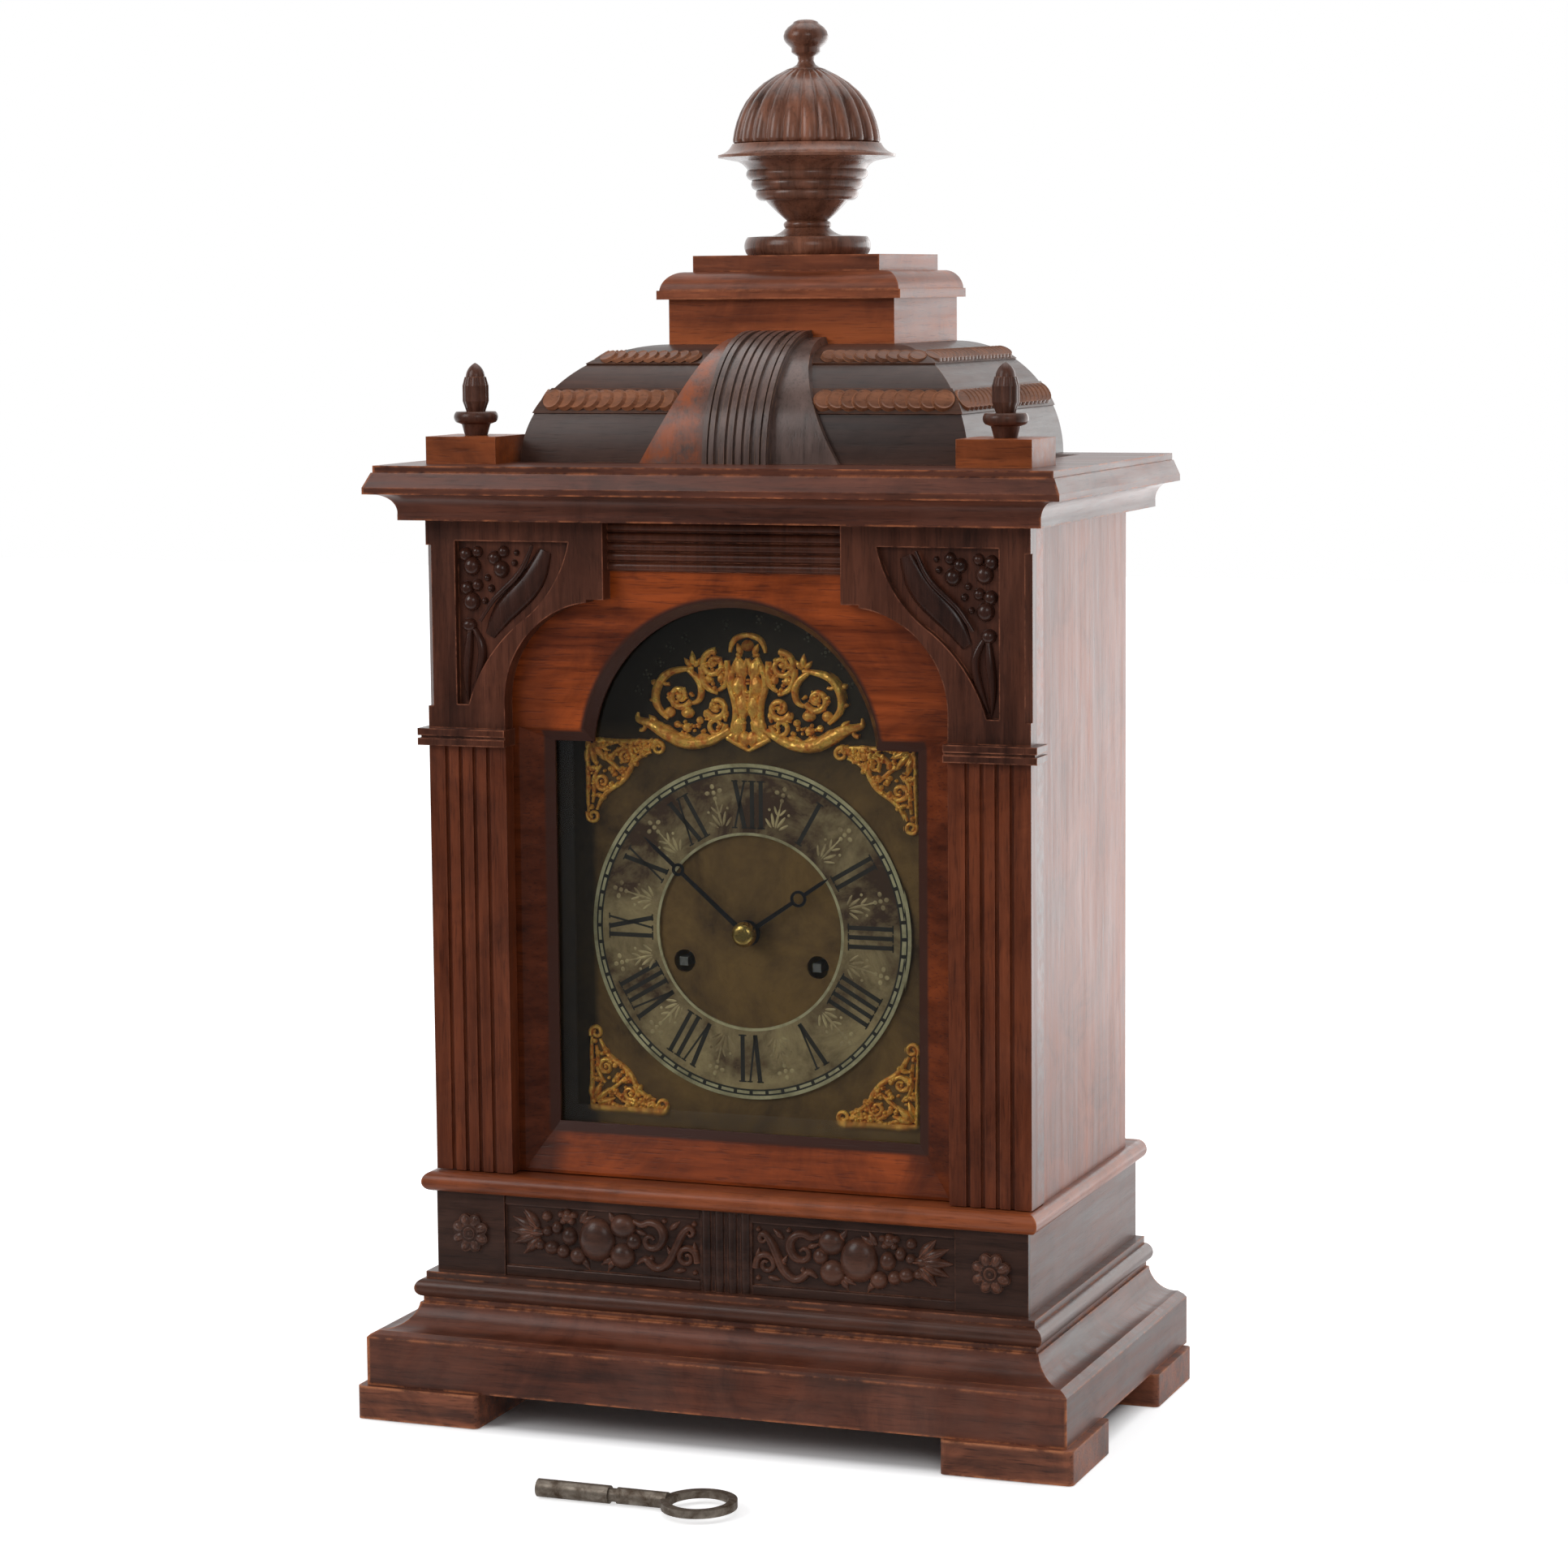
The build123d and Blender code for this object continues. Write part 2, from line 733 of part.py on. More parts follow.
dome -= slab(
    dome_wall + dome_radius * 0.3 - dome_half, dome_half - dome_wall - dome_radius * 0.3, dome_wall,
    dome_depth - dome_wall - dome_radius * 0.3, 0, dome_radius * 0.7,
)
bands = []
for low_angle, high_angle in band_angles:
    front_band, side_band = band_run(low_angle, high_angle)
    dome -= front_band
    dome -= side_band
    dome -= mirror(side_band, about=Plane.YZ)
    front_band -= strap_space
    bands += [front_band, side_band, mirror(side_band, about=Plane.YZ)]
for low_angle, high_angle in band_angles:
    refill = band_section(low_angle, high_angle, dome_radius - band_sink, dome_radius)
    plug = run_front(refill, dome_half, dome_depth, 0) & upright(pad_view(0), block_depth, dome_depth + pad_proud)
    dome += plug
nodes["dome"] = Pos(0, 0, deck_level) * dome
nodes["dome_bands"] = Pos(0, 0, deck_level) * group(*bands)
nodes["dome_strap"] = strap

# Caddy block, its moulded cap and the slab that carries the finial
nodes["caddy_block"] = slab(-block_half, block_half, 0, block_depth, block_low, cap_low)


def cap_section(wood):
    fascia_high = cap_low + cap_fascia
    rise = slab_low - fascia_high
    inward = 9.5
    bend = (cap_reach - 1.0 - inward * (1 - math.cos(math.pi / 4)), fascia_high + rise * math.sin(math.pi / 4))
    return outline(
        (-wood, cap_low), (cap_reach, cap_low), (cap_reach, fascia_high), (cap_reach - 1.0, fascia_high),
        (bend, (cap_reach - 1.0 - inward, slab_low)), (-wood, slab_low),
    )


nodes["caddy_cap"] = group(
    moulded_board(cap_section, block_half, block_depth, cap_reach),
    slab(-slab_half, slab_half, 0, slab_depth, slab_low, finial_low),
)

# Finial: a turned urn and its fluted lid
urn_face = outline(
    (0, 0), (urn_base_radius - 1.5, 0),
    ((urn_base_radius, urn_base_height / 2), (urn_base_radius - 1.5, urn_base_height)),
    (20.8, urn_base_height + 0.4), ((12.8, urn_base_height + 1.6), (9.8, urn_base_height + 3.9)),
    ((urn_neck_radius + 1.6, urn_base_height + 5.4), (urn_neck_radius, urn_base_height + 7.0)),
    ((11.5, urn_base_height + 9.2), (18.5, urn_base_height + 16.2)),
    ((22.4, urn_base_height + 17.6), (22.3, urn_base_height + 20.4)),
    ((24.6, urn_base_height + 22.4), (24.2, urn_base_height + 24.8)),
    ((26.8, urn_base_height + 27.0), (urn_cup_radius, urn_base_height + 29.4)),
    ((28.0, urn_base_height + 31.6), (30.8, urn_base_height + 33.2)),
    (urn_brim_radius, urn_base_height + 34.8), (urn_brim_radius, urn_base_height + 36.0),
    ((36.0, urn_base_height + 37.2), (urn_seat_radius, urn_height)), (0, urn_height),
)
nodes["finial_urn"] = turned(urn_face, 0, finial_depth, finial_low)
lid_low = finial_low + urn_height
lid_levels = ((0.0, 32.2), (1.6, 32.7), (10.0, 30.8), (18.5, 26.9), (26.5, 18.5), (32.6, 9.5))
lid = loft([lobed_face(radius, lid_flutes, lid_flute_depth * radius / 32.7, z) for z, radius in lid_levels], ruled=True)
knob_face = outline(
    (0, lid_height - 1), (8.2, lid_height - 1), (8.2, lid_height),
    ((4.4, lid_height + 1.2), (3.3, lid_height + 3.6)),
    ((4.0, lid_height + 5.8), (6.2, lid_height + 6.6)), (6.2, lid_height + 9.4),
    ((knob_radius, lid_height + 13.6), (5.6, lid_height + 19.6)), (0, lid_height + knob_height),
)
lid += revolve(Plane.XZ * knob_face, Axis.Z, 360)
nodes["finial_lid"] = Pos(0, at(finial_depth), lid_low) * lid


# Front door: a board with an arched window and a wide bevel round it
def window(side, foot_rise, shoulder_rise, arch_rise):
    """The arched window's outline, grown by a margin at its sides, foot, shoulders and arch."""
    half = window_half + side
    sill = body_low + window_sill - foot_rise
    shoulder = body_low + window_shoulder + shoulder_rise
    centre = body_low + arch_centre
    radius = arch_radius + arch_rise
    spring = math.sqrt(radius ** 2 - (shoulder - centre) ** 2)
    return outline(
        (-half, sill), (half, sill), (half, shoulder), (spring, shoulder),
        ((0, centre + radius), (-spring, shoulder)), (-half, shoulder),
    )


def between(face_rear, rear, face_front, front):
    """A block that changes from one upright outline to another."""
    rear_face = Plane(origin=(0, at(rear), 0), x_dir=(1, 0, 0), z_dir=(0, -1, 0)) * face_rear
    front_face = Plane(origin=(0, at(front), 0), x_dir=(1, 0, 0), z_dir=(0, -1, 0)) * face_front
    return loft([rear_face, front_face], ruled=True)


opening = window(0, 0, 0, 0)
bevel_edge = window(bevel_side, bevel_foot, bevel_shoulder, bevel_arch)
glass_edge = window(glass_lap, glass_lap, glass_lap, glass_lap)
rebate_edge = window(*(4 * (glass_lap + glass_play,)))
glass_front = door_back_depth + glass_thickness
door_frame = slab(-door_half, door_half, door_back_depth, door_field_depth, door_low, door_high)
door_frame -= upright(opening, door_back_depth, door_field_depth)
door_frame -= between(opening, door_rebate_depth, bevel_edge, door_field_depth)
door_frame -= upright(rebate_edge, door_back_depth, glass_front)
nodes["door_frame"] = door_frame

# Glass with a ground bevel, let into the back of the door
glass = upright(glass_edge, door_back_depth, glass_front - glass_bevel_depth)
glass += between(
    glass_edge, glass_front - glass_bevel_depth,
    window(*(4 * (-glass_bevel_width,))), glass_front,
)
nodes["door_glass"] = glass

# Pilasters with four flutes each
pilaster_in = door_half - pilaster_width
pilaster_top = cornice_low - pilaster_drop
hinge_x = door_half - pin_inset
pilaster = slab(pilaster_in, door_half, door_field_depth, door_front_depth, door_low, pilaster_top)
flute_step = (pilaster_width - 2 * flute_margin - flute_width) / (flute_count - 1)
for count in range(flute_count):
    flute_x = pilaster_in + flute_margin + flute_width / 2 + count * flute_step
    pilaster -= slab(
        flute_x - flute_width / 2, flute_x + flute_width / 2,
        door_front_depth - flute_depth, door_front_depth + 1, door_low - 1, pilaster_top + 1,
    )
pin_hole_low = upright_pin(pin_radius, door_low, door_low + pin_in_door, hinge_x, pin_depth)
nodes["pilasters"] = group(pilaster - pin_hole_low, mirror(pilaster, about=Plane.YZ))

# Capitals: two reeds with a groove between them, returned round the corner of the door
capital_high = pilaster_top + capital_height
capital_front = door_front_depth + capital_reach
reed = capital_height / 2
capital_plan = outline(
    (pilaster_in - 1, at(door_field_depth)), (pilaster_in - 1, at(capital_front)),
    (door_half + capital_reach, at(capital_front)),
    (door_half + capital_reach, at(capital_front - capital_return)),
    (door_half, at(capital_front - capital_return)), (door_half, at(door_field_depth)),
)
capital = Pos(0, 0, pilaster_top) * extrude(capital_plan, amount=capital_height)
capital -= slab(
    pilaster_in - 2, door_half + capital_reach + 1, capital_front - 1.2, capital_front + 1,
    pilaster_top + reed - 0.6, pilaster_top + reed + 0.6,
)
capital -= slab(
    door_half + capital_reach - 1.2, door_half + capital_reach + 1, capital_front - capital_return - 1,
    capital_front + 1, pilaster_top + reed - 0.6, pilaster_top + reed + 0.6,
)
nodes["capitals"] = both(capital)

# Spandrel blocks with a sunk carved corner
spandrel_arc_z = cornice_low - spandrel_arc_drop
spandrel_face = outline(
    (spandrel_half, door_high), (door_half, door_high), (door_half, capital_high), (pilaster_in, capital_high),
    (spandrel_arc_x + spandrel_arc, spandrel_arc_z),
    ((spandrel_arc_x + spandrel_arc * math.cos(math.radians(42)),
      spandrel_arc_z + spandrel_arc * math.sin(math.radians(42))),
     (spandrel_step_x, spandrel_arc_z
      + math.sqrt(spandrel_arc ** 2 - (spandrel_step_x - spandrel_arc_x) ** 2))),
    (spandrel_step_x, cornice_low - spandrel_step_drop), (spandrel_half, cornice_low - spandrel_step_drop),
)
spandrel = upright(spandrel_face, door_field_depth, door_front_depth)
recess_head = cornice_low - recess_head_drop
recess_floor = cornice_low - recess_foot_drop
waist_x, waist_z = ((recess_tip_x + recess_foot_x) / 2, (recess_head + recess_floor) / 2)
recess_face = outline(
    (recess_corner_x, recess_head), (recess_tip_x, recess_head),
    (((recess_tip_x + waist_x) / 2 - 3, (recess_head + waist_z) / 2 - 3), (waist_x, waist_z)),
    (((recess_foot_x + waist_x) / 2 + 2, (recess_floor + waist_z) / 2 + 3), (recess_foot_x, recess_floor)),
    (recess_corner_x, recess_floor),
)
spandrel -= upright(recess_face, door_front_depth - spandrel_recess, door_front_depth + 1)
chamfer_plan = outline(
    (door_half - chamfer_size, at(door_front_depth)), (door_half + 1, at(door_front_depth - chamfer_size - 1)),
    (door_half + 1, at(door_front_depth + 1)), (door_half - chamfer_size, at(door_front_depth + 1)),
)
spandrel -= Pos(0, 0, cornice_low - chamfer_low_drop) * extrude(chamfer_plan, amount=chamfer_low_drop - chamfer_high_drop)
pin_hole_high = upright_pin(pin_radius, door_high - pin_in_door, door_high, hinge_x, pin_depth)
nodes["spandrels"] = group(spandrel - pin_hole_high, mirror(spandrel, about=Plane.YZ))

# Reeded tablet over the arch
reed_pitch = tablet_height / tablet_reeds
reeded = slab(
    -spandrel_half, spandrel_half, door_field_depth, door_field_depth + reed_backing,
    door_high - tablet_height, door_high,
)
for count in range(tablet_reeds):
    reed_low = door_high - tablet_height + count * reed_pitch
    reed_face = outline(
        (at(door_field_depth + reed_backing), reed_low + 0.2),
        ((at(door_field_depth + reed_backing + reed_pitch * 0.45), reed_low + reed_pitch / 2),
         (at(door_field_depth + reed_backing), reed_low + reed_pitch - 0.2)),
    )
    reeded += across(reed_face, -spandrel_half, spandrel_half)
nodes["reeded_tablet"] = reeded

# Pivot pins of the front door, held in the door and turning in the case
front_pin_low = upright_pin(pin_radius, door_low - door_gap - pin_in_case, door_low + pin_in_door, hinge_x, pin_depth)
front_pin_high = upright_pin(pin_radius, door_high - pin_in_door, cornice_low + pin_in_case, hinge_x, pin_depth)
nodes["front_door_pins"] = group(front_pin_low, front_pin_high)

# Back door: a board with a sunk panel, a turned knob and pivot pins on the side away from the knob
back_hinge_x = pin_inset - back_door_half
back_pin_depth = back_door_front - back_pin_from_front
back_door = slab(-back_door_half, back_door_half, back_door_set_in, back_door_front, door_low, door_high)
back_door -= slab(
    back_border - back_door_half, back_door_half - back_border, 0, back_door_set_in + back_panel_sink,
    door_low + back_border, door_high - back_border,
)
back_pin_low = upright_pin(
    pin_radius, door_low - door_gap - pin_in_case, door_low + pin_in_door, back_hinge_x, back_pin_depth
)
back_pin_high = upright_pin(
    pin_radius, door_high - pin_in_door, cornice_low + pin_in_case, back_hinge_x, back_pin_depth
)
nodes["back_door"] = back_door - back_pin_low - back_pin_high
nodes["back_door_pins"] = group(back_pin_low, back_pin_high)
knob_profile = outline(
    (0, 0), (back_knob_radius, 0), (back_knob_radius, 1.2), (3.0, 1.6), (3.0, 4.0),
    ((back_knob_radius, 8.0), (3.0, back_knob_reach - 0.6)), (0, back_knob_reach),
)
knob = revolve(Plane.XZ * knob_profile, Axis.Z, 360)
nodes["back_knob"] = Pos(back_knob_x, at(back_door_set_in), (door_low + door_high) / 2) * Rot(-90, 0, 0) * knob


# Sockets in the waist board and the cornice for the four pivot pins
def socket(low, high, x, depth):
    return upright_pin(pin_radius + running_clearance, low, high, x, depth)


socket_floor = body_low - pin_in_case - 1
socket_roof = cornice_low + pin_in_case + 1
waist_board -= socket(socket_floor, body_low, hinge_x, pin_depth)
waist_board -= socket(socket_floor, body_low, back_hinge_x, back_pin_depth)
nodes["waist_board"] = waist_board
cornice_sockets = (
    socket(cornice_low, socket_roof, hinge_x, pin_depth), socket(cornice_low, socket_roof, back_hinge_x, back_pin_depth)
)
nodes["cornice"] = group(*(length - cornice_sockets[0] - cornice_sockets[1] for length in cornice.solids()))

# Dial plate: a square with an arch, pierced for the hands and the winding squares
plate_low = body_low + dial_foot
plate_shoulder = body_low + dial_shoulder
arch_z = body_low + arch_centre
spring_x = math.sqrt(dial_arch_radius ** 2 - (plate_shoulder - arch_z) ** 2)
dial_face = outline(
    (-dial_half, plate_low), (dial_half, plate_low), (dial_half, plate_shoulder), (spring_x, plate_shoulder),
    ((0, arch_z + dial_arch_radius), (-spring_x, plate_shoulder)), (-dial_half, plate_shoulder),
)
barrel_z = dial_z - barrel_drop
cannon_radius = arbor_radius + pipe_wall
hour_pipe_inner = cannon_radius + running_clearance
hour_pipe_outer = hour_pipe_inner + pipe_wall
dial_plate = upright(dial_face, dial_back_depth, dial_front_depth)
dial_plate -= pivot(hour_pipe_outer + 0.6, dial_back_depth, dial_front_depth, 0, dial_z)
for side in (-1, 1):
    dial_plate -= pivot(winding_hole_radius, dial_back_depth, dial_front_depth, side * barrel_x, barrel_z)
nodes["dial_plate"] = dial_plate
nodes["chapter_ring"] = pivot(ring_outer, dial_front_depth, ring_front_depth, 0, dial_z) - pivot(
    ring_inner, dial_front_depth, ring_front_depth, 0, dial_z
)

# Cast ornaments in the corners and the arch of the dial
ornament_front = dial_front_depth + ornament_thickness
leg = corner_ornament_leg
corner_face = outline(
    (corner_ornament_x, corner_ornament_z), (corner_ornament_x - leg, corner_ornament_z),
    ((corner_ornament_x - leg * 0.72, corner_ornament_z - leg * 0.36),
     (corner_ornament_x - leg * 0.42, corner_ornament_z - leg * 0.40)),
    ((corner_ornament_x - leg * 0.36, corner_ornament_z - leg * 0.72), (corner_ornament_x, corner_ornament_z - leg)),
)
corner_face = Pos(0, dial_z, 0) * corner_face
top_ornament = upright(corner_face, dial_front_depth, ornament_front)
dial_level = Plane(origin=(0, 0, dial_z), z_dir=(0, 0, 1))
low_ornament = mirror(top_ornament, about=dial_level)
nodes["corner_ornaments"] = group(both(top_ornament), both(low_ornament))
crest_low = arch_ornament_rise - arch_ornament_height
crest = (
    ((0.16, 0.10), (0.30, 0.06)), ((0.50, 0.02), (0.66, 0.08)), (1.0, 0.30), (0.96, 0.38),
    (0.80, 0.40), ((0.68, 0.68), (0.44, 0.62)), ((0.42, 0.84), (0.20, 0.88)), (0.12, 0.98), (0, 1.0),
)


def crest_spot(share):
    """A point of the arch ornament, from its share of the half width and of the height."""
    return (share[0] * arch_ornament_half, crest_low + share[1] * arch_ornament_height)


crest_face = outline(crest_spot((0, 0)), *(
    tuple(crest_spot(share) for share in move) if isinstance(move[0], tuple) else crest_spot(move)
    for move in crest
))
crest_right = upright(Pos(0, dial_z, 0) * crest_face, dial_front_depth, ornament_front)
nodes["arch_ornament"] = crest_right + mirror(crest_right, about=Plane.YZ)

# Dial feet, between the dial and the movement
dial_feet = [
    pivot(dial_foot_radius, front_plate_front, dial_back_depth, side * dial_foot_x, dial_z + rise)
    for side in (-1, 1) for rise in dial_foot_z
]


# Wheels of the train
def gear_face(teeth, module, turn):
    """A toothed outline with one tooth pointing at an angle, in degrees up from +X."""
    pitch = teeth * module / 2
    root = pitch - tooth_fall * module
    tip = pitch + tooth_rise * module
    step = 360 / teeth
    points = []
    for count in range(teeth):
        middle = turn + count * step
        corners = ((root, -tooth_share), (tip, -tooth_tip_share), (tip, tooth_tip_share), (root, tooth_share))
        for radius, share in corners:
            angle = math.radians(middle + share * step * 0.8)
            points.append((radius * math.cos(angle), radius * math.sin(angle)))
    return make_face(Polyline(*points, close=True).edges())


def gear(teeth, module, turn, rear, thickness, x, z):
    """A wheel or pinion between two depths, centred at a place on the plates."""
    return upright(Pos(x, z, 0) * gear_face(teeth, module, turn), rear, rear + thickness)


def facing(start, end):
    """Direction from one arbor to another, in degrees up from +X."""
    return math.degrees(math.atan2(end[1] - start[1], end[0] - start[0]))


def gap_turn(teeth, direction):
    """The turn that puts the space between two teeth in a direction."""
    return direction + 180 / teeth


def polar(start, distance, direction):
    """A place at a distance and direction from another."""
    angle = math.radians(direction)
    return (start[0] + distance * math.cos(angle), start[1] + distance * math.sin(angle))


centre = (0.0, dial_z)
time_place = (-barrel_x, barrel_z)
strike_place = (barrel_x, barrel_z)
barrel_distance = math.dist(centre, time_place)
barrel_module = 2 * barrel_distance / (barrel_teeth + train_pinion_teeth)
third_distance = centre_wheel_module * (centre_wheel_teeth + train_pinion_teeth) / 2
third_place = (third_x, dial_z + math.sqrt(third_distance ** 2 - third_x ** 2))
fine_distance = fine_module * (third_wheel_teeth + train_pinion_teeth) / 2
escape_place = (0.0, third_place[1] + math.sqrt(fine_distance ** 2 - third_x ** 2))
anchor_place = (0.0, escape_place[1] + anchor_drop)
strike_wheel_place = polar(strike_place, barrel_distance, strike_turn)
fly_place = polar(strike_wheel_place, fine_distance, fly_turn)
stud_place = (0.0, dial_z - motion_distance)
hammer_place = (hammer_x, dial_z - hammer_drop)
great_rear = front_plate_back - 1.5 - barrel_wheel_thickness
drum_rear = great_rear - barrel_length
centre_wheel_rear = back_plate_front + 1.0
third_wheel_rear = centre_wheel_rear + wheel_thickness + 1.5
escape_wheel_rear = back_plate_front + 21.0
strike_great_rear = drum_rear

# Movement plates, with a running hole for every arbor, and the pillars between them
plate_low_z = dial_z - plate_foot
plate_high_z = dial_z + plate_head
arbors = (
    (centre, arbor_radius), (third_place, thin_arbor_radius), (escape_place, thin_arbor_radius),
    (anchor_place, thin_arbor_radius), (time_place, winding_arbor_radius), (strike_place, winding_arbor_radius),
    (strike_wheel_place, thin_arbor_radius), (fly_place, thin_arbor_radius), (hammer_place, thin_arbor_radius),
)


def movement_plate(rear, front):
    plate = slab(-plate_half, plate_half, rear, front, plate_low_z, plate_high_z)
    for place, radius in arbors:
        plate -= pivot(radius + running_clearance, rear, front, *place)
    return plate


motion_stud = pivot(thin_arbor_radius, front_plate_front, dial_back_depth - 0.8, *stud_place)
nodes["front_plate"] = movement_plate(front_plate_back, front_plate_front) + motion_stud
nodes["back_plate"] = movement_plate(back_plate_back, back_plate_front)
pillars = [
    pivot(pillar_radius, back_plate_front, front_plate_back, side * (plate_half - pillar_inset), level)
    for side in (-1, 1) for level in (plate_low_z + pillar_inset, plate_high_z - pillar_inset)
]
nodes["pillars"] = group(*pillars, *dial_feet)

# Seat board under the movement, on a rail at each side
seat_low = plate_low_z - seat_thickness
seat = slab(board - case_half, case_half - board, seat_back_depth, seat_front_depth, seat_low, plate_low_z)
rail = slab(
    case_half - board - rail_thickness, case_half - board, seat_back_depth, seat_front_depth, body_low, seat_low
)
nodes["seat_board"] = group(seat, both(rail))

# Centre arbor with its pinion, wheel and cannon pinion
centre_arbor = pivot(arbor_radius, back_plate_back, dial_front_depth + minute_hand_stand + hand_thickness, *centre)
centre_arbor += gear(
    train_pinion_teeth, barrel_module, facing(centre, time_place), great_rear, barrel_wheel_thickness, *centre
)
cannon_module = 2 * motion_distance / (cannon_teeth + minute_wheel_teeth)
cannon_rear = front_plate_front + 1.2
cannon_front = cannon_rear + pinion_length
centre_arbor += gear(cannon_teeth, cannon_module, facing(centre, stud_place), cannon_rear, pinion_length, *centre)
centre_arbor += pivot(cannon_radius, cannon_front, dial_front_depth + minute_hand_stand, *centre)
centre_arbor += gear(
    centre_wheel_teeth, centre_wheel_module, facing(centre, third_place), centre_wheel_rear, wheel_thickness, *centre
)
nodes["centre_wheel"] = centre_arbor

# Third arbor, then the escape arbor and wheel
third = pivot(thin_arbor_radius, back_plate_back, front_plate_front, *third_place)
third += gear(
    train_pinion_teeth, centre_wheel_module, gap_turn(train_pinion_teeth, facing(third_place, centre)),
    centre_wheel_rear, wheel_thickness, *third_place,
)
third += gear(
    third_wheel_teeth, fine_module, facing(third_place, escape_place), third_wheel_rear, wheel_thickness, *third_place
)
nodes["third_wheel"] = third
escape = pivot(thin_arbor_radius, back_plate_back, front_plate_front, *escape_place)
escape += gear(
    train_pinion_teeth, fine_module, gap_turn(train_pinion_teeth, facing(escape_place, third_place)),
    third_wheel_rear, wheel_thickness, *escape_place,
)
hook_points = []
for count in range(escape_teeth):
    for radius, share in ((escape_radius - 3.2, -0.30), (escape_radius, -0.12), (escape_radius, 0.02)):
        hook_points.append(polar((0.0, 0.0), radius, (count + share) * 360 / escape_teeth))
hook_face = make_face(Polyline(*hook_points, close=True).edges())
escape += upright(Pos(*escape_place, 0) * hook_face, escape_wheel_rear, escape_wheel_rear + wheel_thickness)
nodes["escape_wheel"] = escape

# Motion work behind the dial
minute_wheel = gear(
    minute_wheel_teeth, cannon_module, gap_turn(minute_wheel_teeth, facing(stud_place, centre)),
    cannon_rear, wheel_thickness, *stud_place,
)
hour_module = 2 * motion_distance / (minute_pinion_teeth + hour_wheel_teeth)
hour_rear = cannon_front + 0.6
minute_wheel += gear(
    minute_pinion_teeth, hour_module, facing(stud_place, centre), cannon_rear + wheel_thickness,
    hour_rear + wheel_thickness - cannon_rear - wheel_thickness, *stud_place,
)
nodes["minute_wheel"] = minute_wheel - pivot(
    thin_arbor_radius + running_clearance, cannon_rear, hour_rear + wheel_thickness, *stud_place
)
hour_hand_rear = dial_front_depth + hour_hand_stand
hour_wheel = gear(
    hour_wheel_teeth, hour_module, gap_turn(hour_wheel_teeth, facing(centre, stud_place)),
    hour_rear, wheel_thickness, *centre,
)
hour_wheel += pivot(hour_pipe_outer, hour_rear, hour_hand_rear, *centre)
nodes["hour_wheel"] = hour_wheel - pivot(hour_pipe_inner, hour_rear, hour_hand_rear, *centre)


# Hands of blued steel, and the brass nut that holds them
def hand(reach, boss, loop_place, loop_radius, angle, rear, bore):
    """A slim hand with an open loop, pointing up and then turned clockwise."""
    half = hand_width / 2
    flat = outline((-half * 1.3, 0), (-half, loop_place), (-half, reach * 0.9), (0, reach), (half, reach * 0.9),
                   (half, loop_place), (half * 1.3, 0))
    flat += Circle(boss)
    flat += Pos(0, loop_place, 0) * Circle(loop_radius)
    flat -= Pos(0, loop_place, 0) * Circle(loop_radius - 1.2)
    flat -= Circle(bore)
    flat = Pos(*centre, 0) * Rot(0, 0, -angle) * flat
    return upright(flat, rear, rear + hand_thickness)


minute_hand_rear = dial_front_depth + minute_hand_stand
nodes["hour_hand"] = hand(
    hour_reach, hour_pipe_outer + 1.6, hour_reach * 0.62, 3.6, hour_angle, hour_hand_rear, hour_pipe_inner
)
nodes["minute_hand"] = hand(
    minute_reach, cannon_radius + 1.4, minute_reach * 0.66, 2.8, minute_angle, minute_hand_rear, arbor_radius
)
nut_front = minute_hand_rear + hand_thickness
nut_face = outline(
    (0, 0), (nut_radius, 0), (nut_radius, 1.4), ((nut_radius * 0.82, 3.4), (nut_radius * 0.4, nut_height)),
    (0, nut_height),
)
nut = Rot(90, 0, 0) * revolve(Plane.XZ * nut_face, Axis.Z, 360)
nodes["hand_nut"] = Pos(0, at(nut_front), dial_z) * nut


# Barrels and their winding arbors
def winding_arbor(place):
    arbor = pivot(winding_arbor_radius, back_plate_back, front_plate_front + 1.0, *place)
    square = Pos(place[0], 0, place[1]) * slab(
        -winding_square / 2, winding_square / 2, front_plate_front + 1.0, ring_front_depth,
        -winding_square / 2, winding_square / 2,
    )
    return arbor + square


def barrel(place, wheel_rear, drum_low, turn):
    drum = pivot(barrel_radius, drum_low, drum_low + barrel_length, *place)
    drum += gear(barrel_teeth, barrel_module, turn, wheel_rear, barrel_wheel_thickness, *place)
    return drum - pivot(
        winding_arbor_radius + running_clearance, drum_low - barrel_wheel_thickness - 1,
        drum_low + barrel_length + barrel_wheel_thickness + 1, *place,
    )


nodes["time_winding_arbor"] = winding_arbor(time_place)
nodes["strike_winding_arbor"] = winding_arbor(strike_place)
nodes["time_barrel"] = barrel(
    time_place, great_rear, drum_rear, gap_turn(barrel_teeth, facing(time_place, centre))
)
nodes["strike_barrel"] = barrel(
    strike_place, strike_great_rear, strike_great_rear + barrel_wheel_thickness,
    facing(strike_place, strike_wheel_place),
)

# Strike train: pin wheel and fly
pin_wheel_rear = centre_wheel_rear + 0.5
strike_arbor = pivot(thin_arbor_radius, back_plate_back, front_plate_front, *strike_wheel_place)
strike_arbor += gear(
    train_pinion_teeth, barrel_module, gap_turn(train_pinion_teeth, facing(strike_wheel_place, strike_place)),
    strike_great_rear, barrel_wheel_thickness, *strike_wheel_place,
)
strike_arbor += gear(
    strike_wheel_teeth, fine_module, facing(strike_wheel_place, fly_place), pin_wheel_rear, wheel_thickness,
    *strike_wheel_place,
)
nodes["strike_wheel"] = strike_arbor
fly = pivot(thin_arbor_radius, back_plate_back, front_plate_front, *fly_place)
fly += gear(
    train_pinion_teeth, fine_module, gap_turn(train_pinion_teeth, facing(fly_place, strike_wheel_place)),
    pin_wheel_rear, wheel_thickness, *fly_place,
)
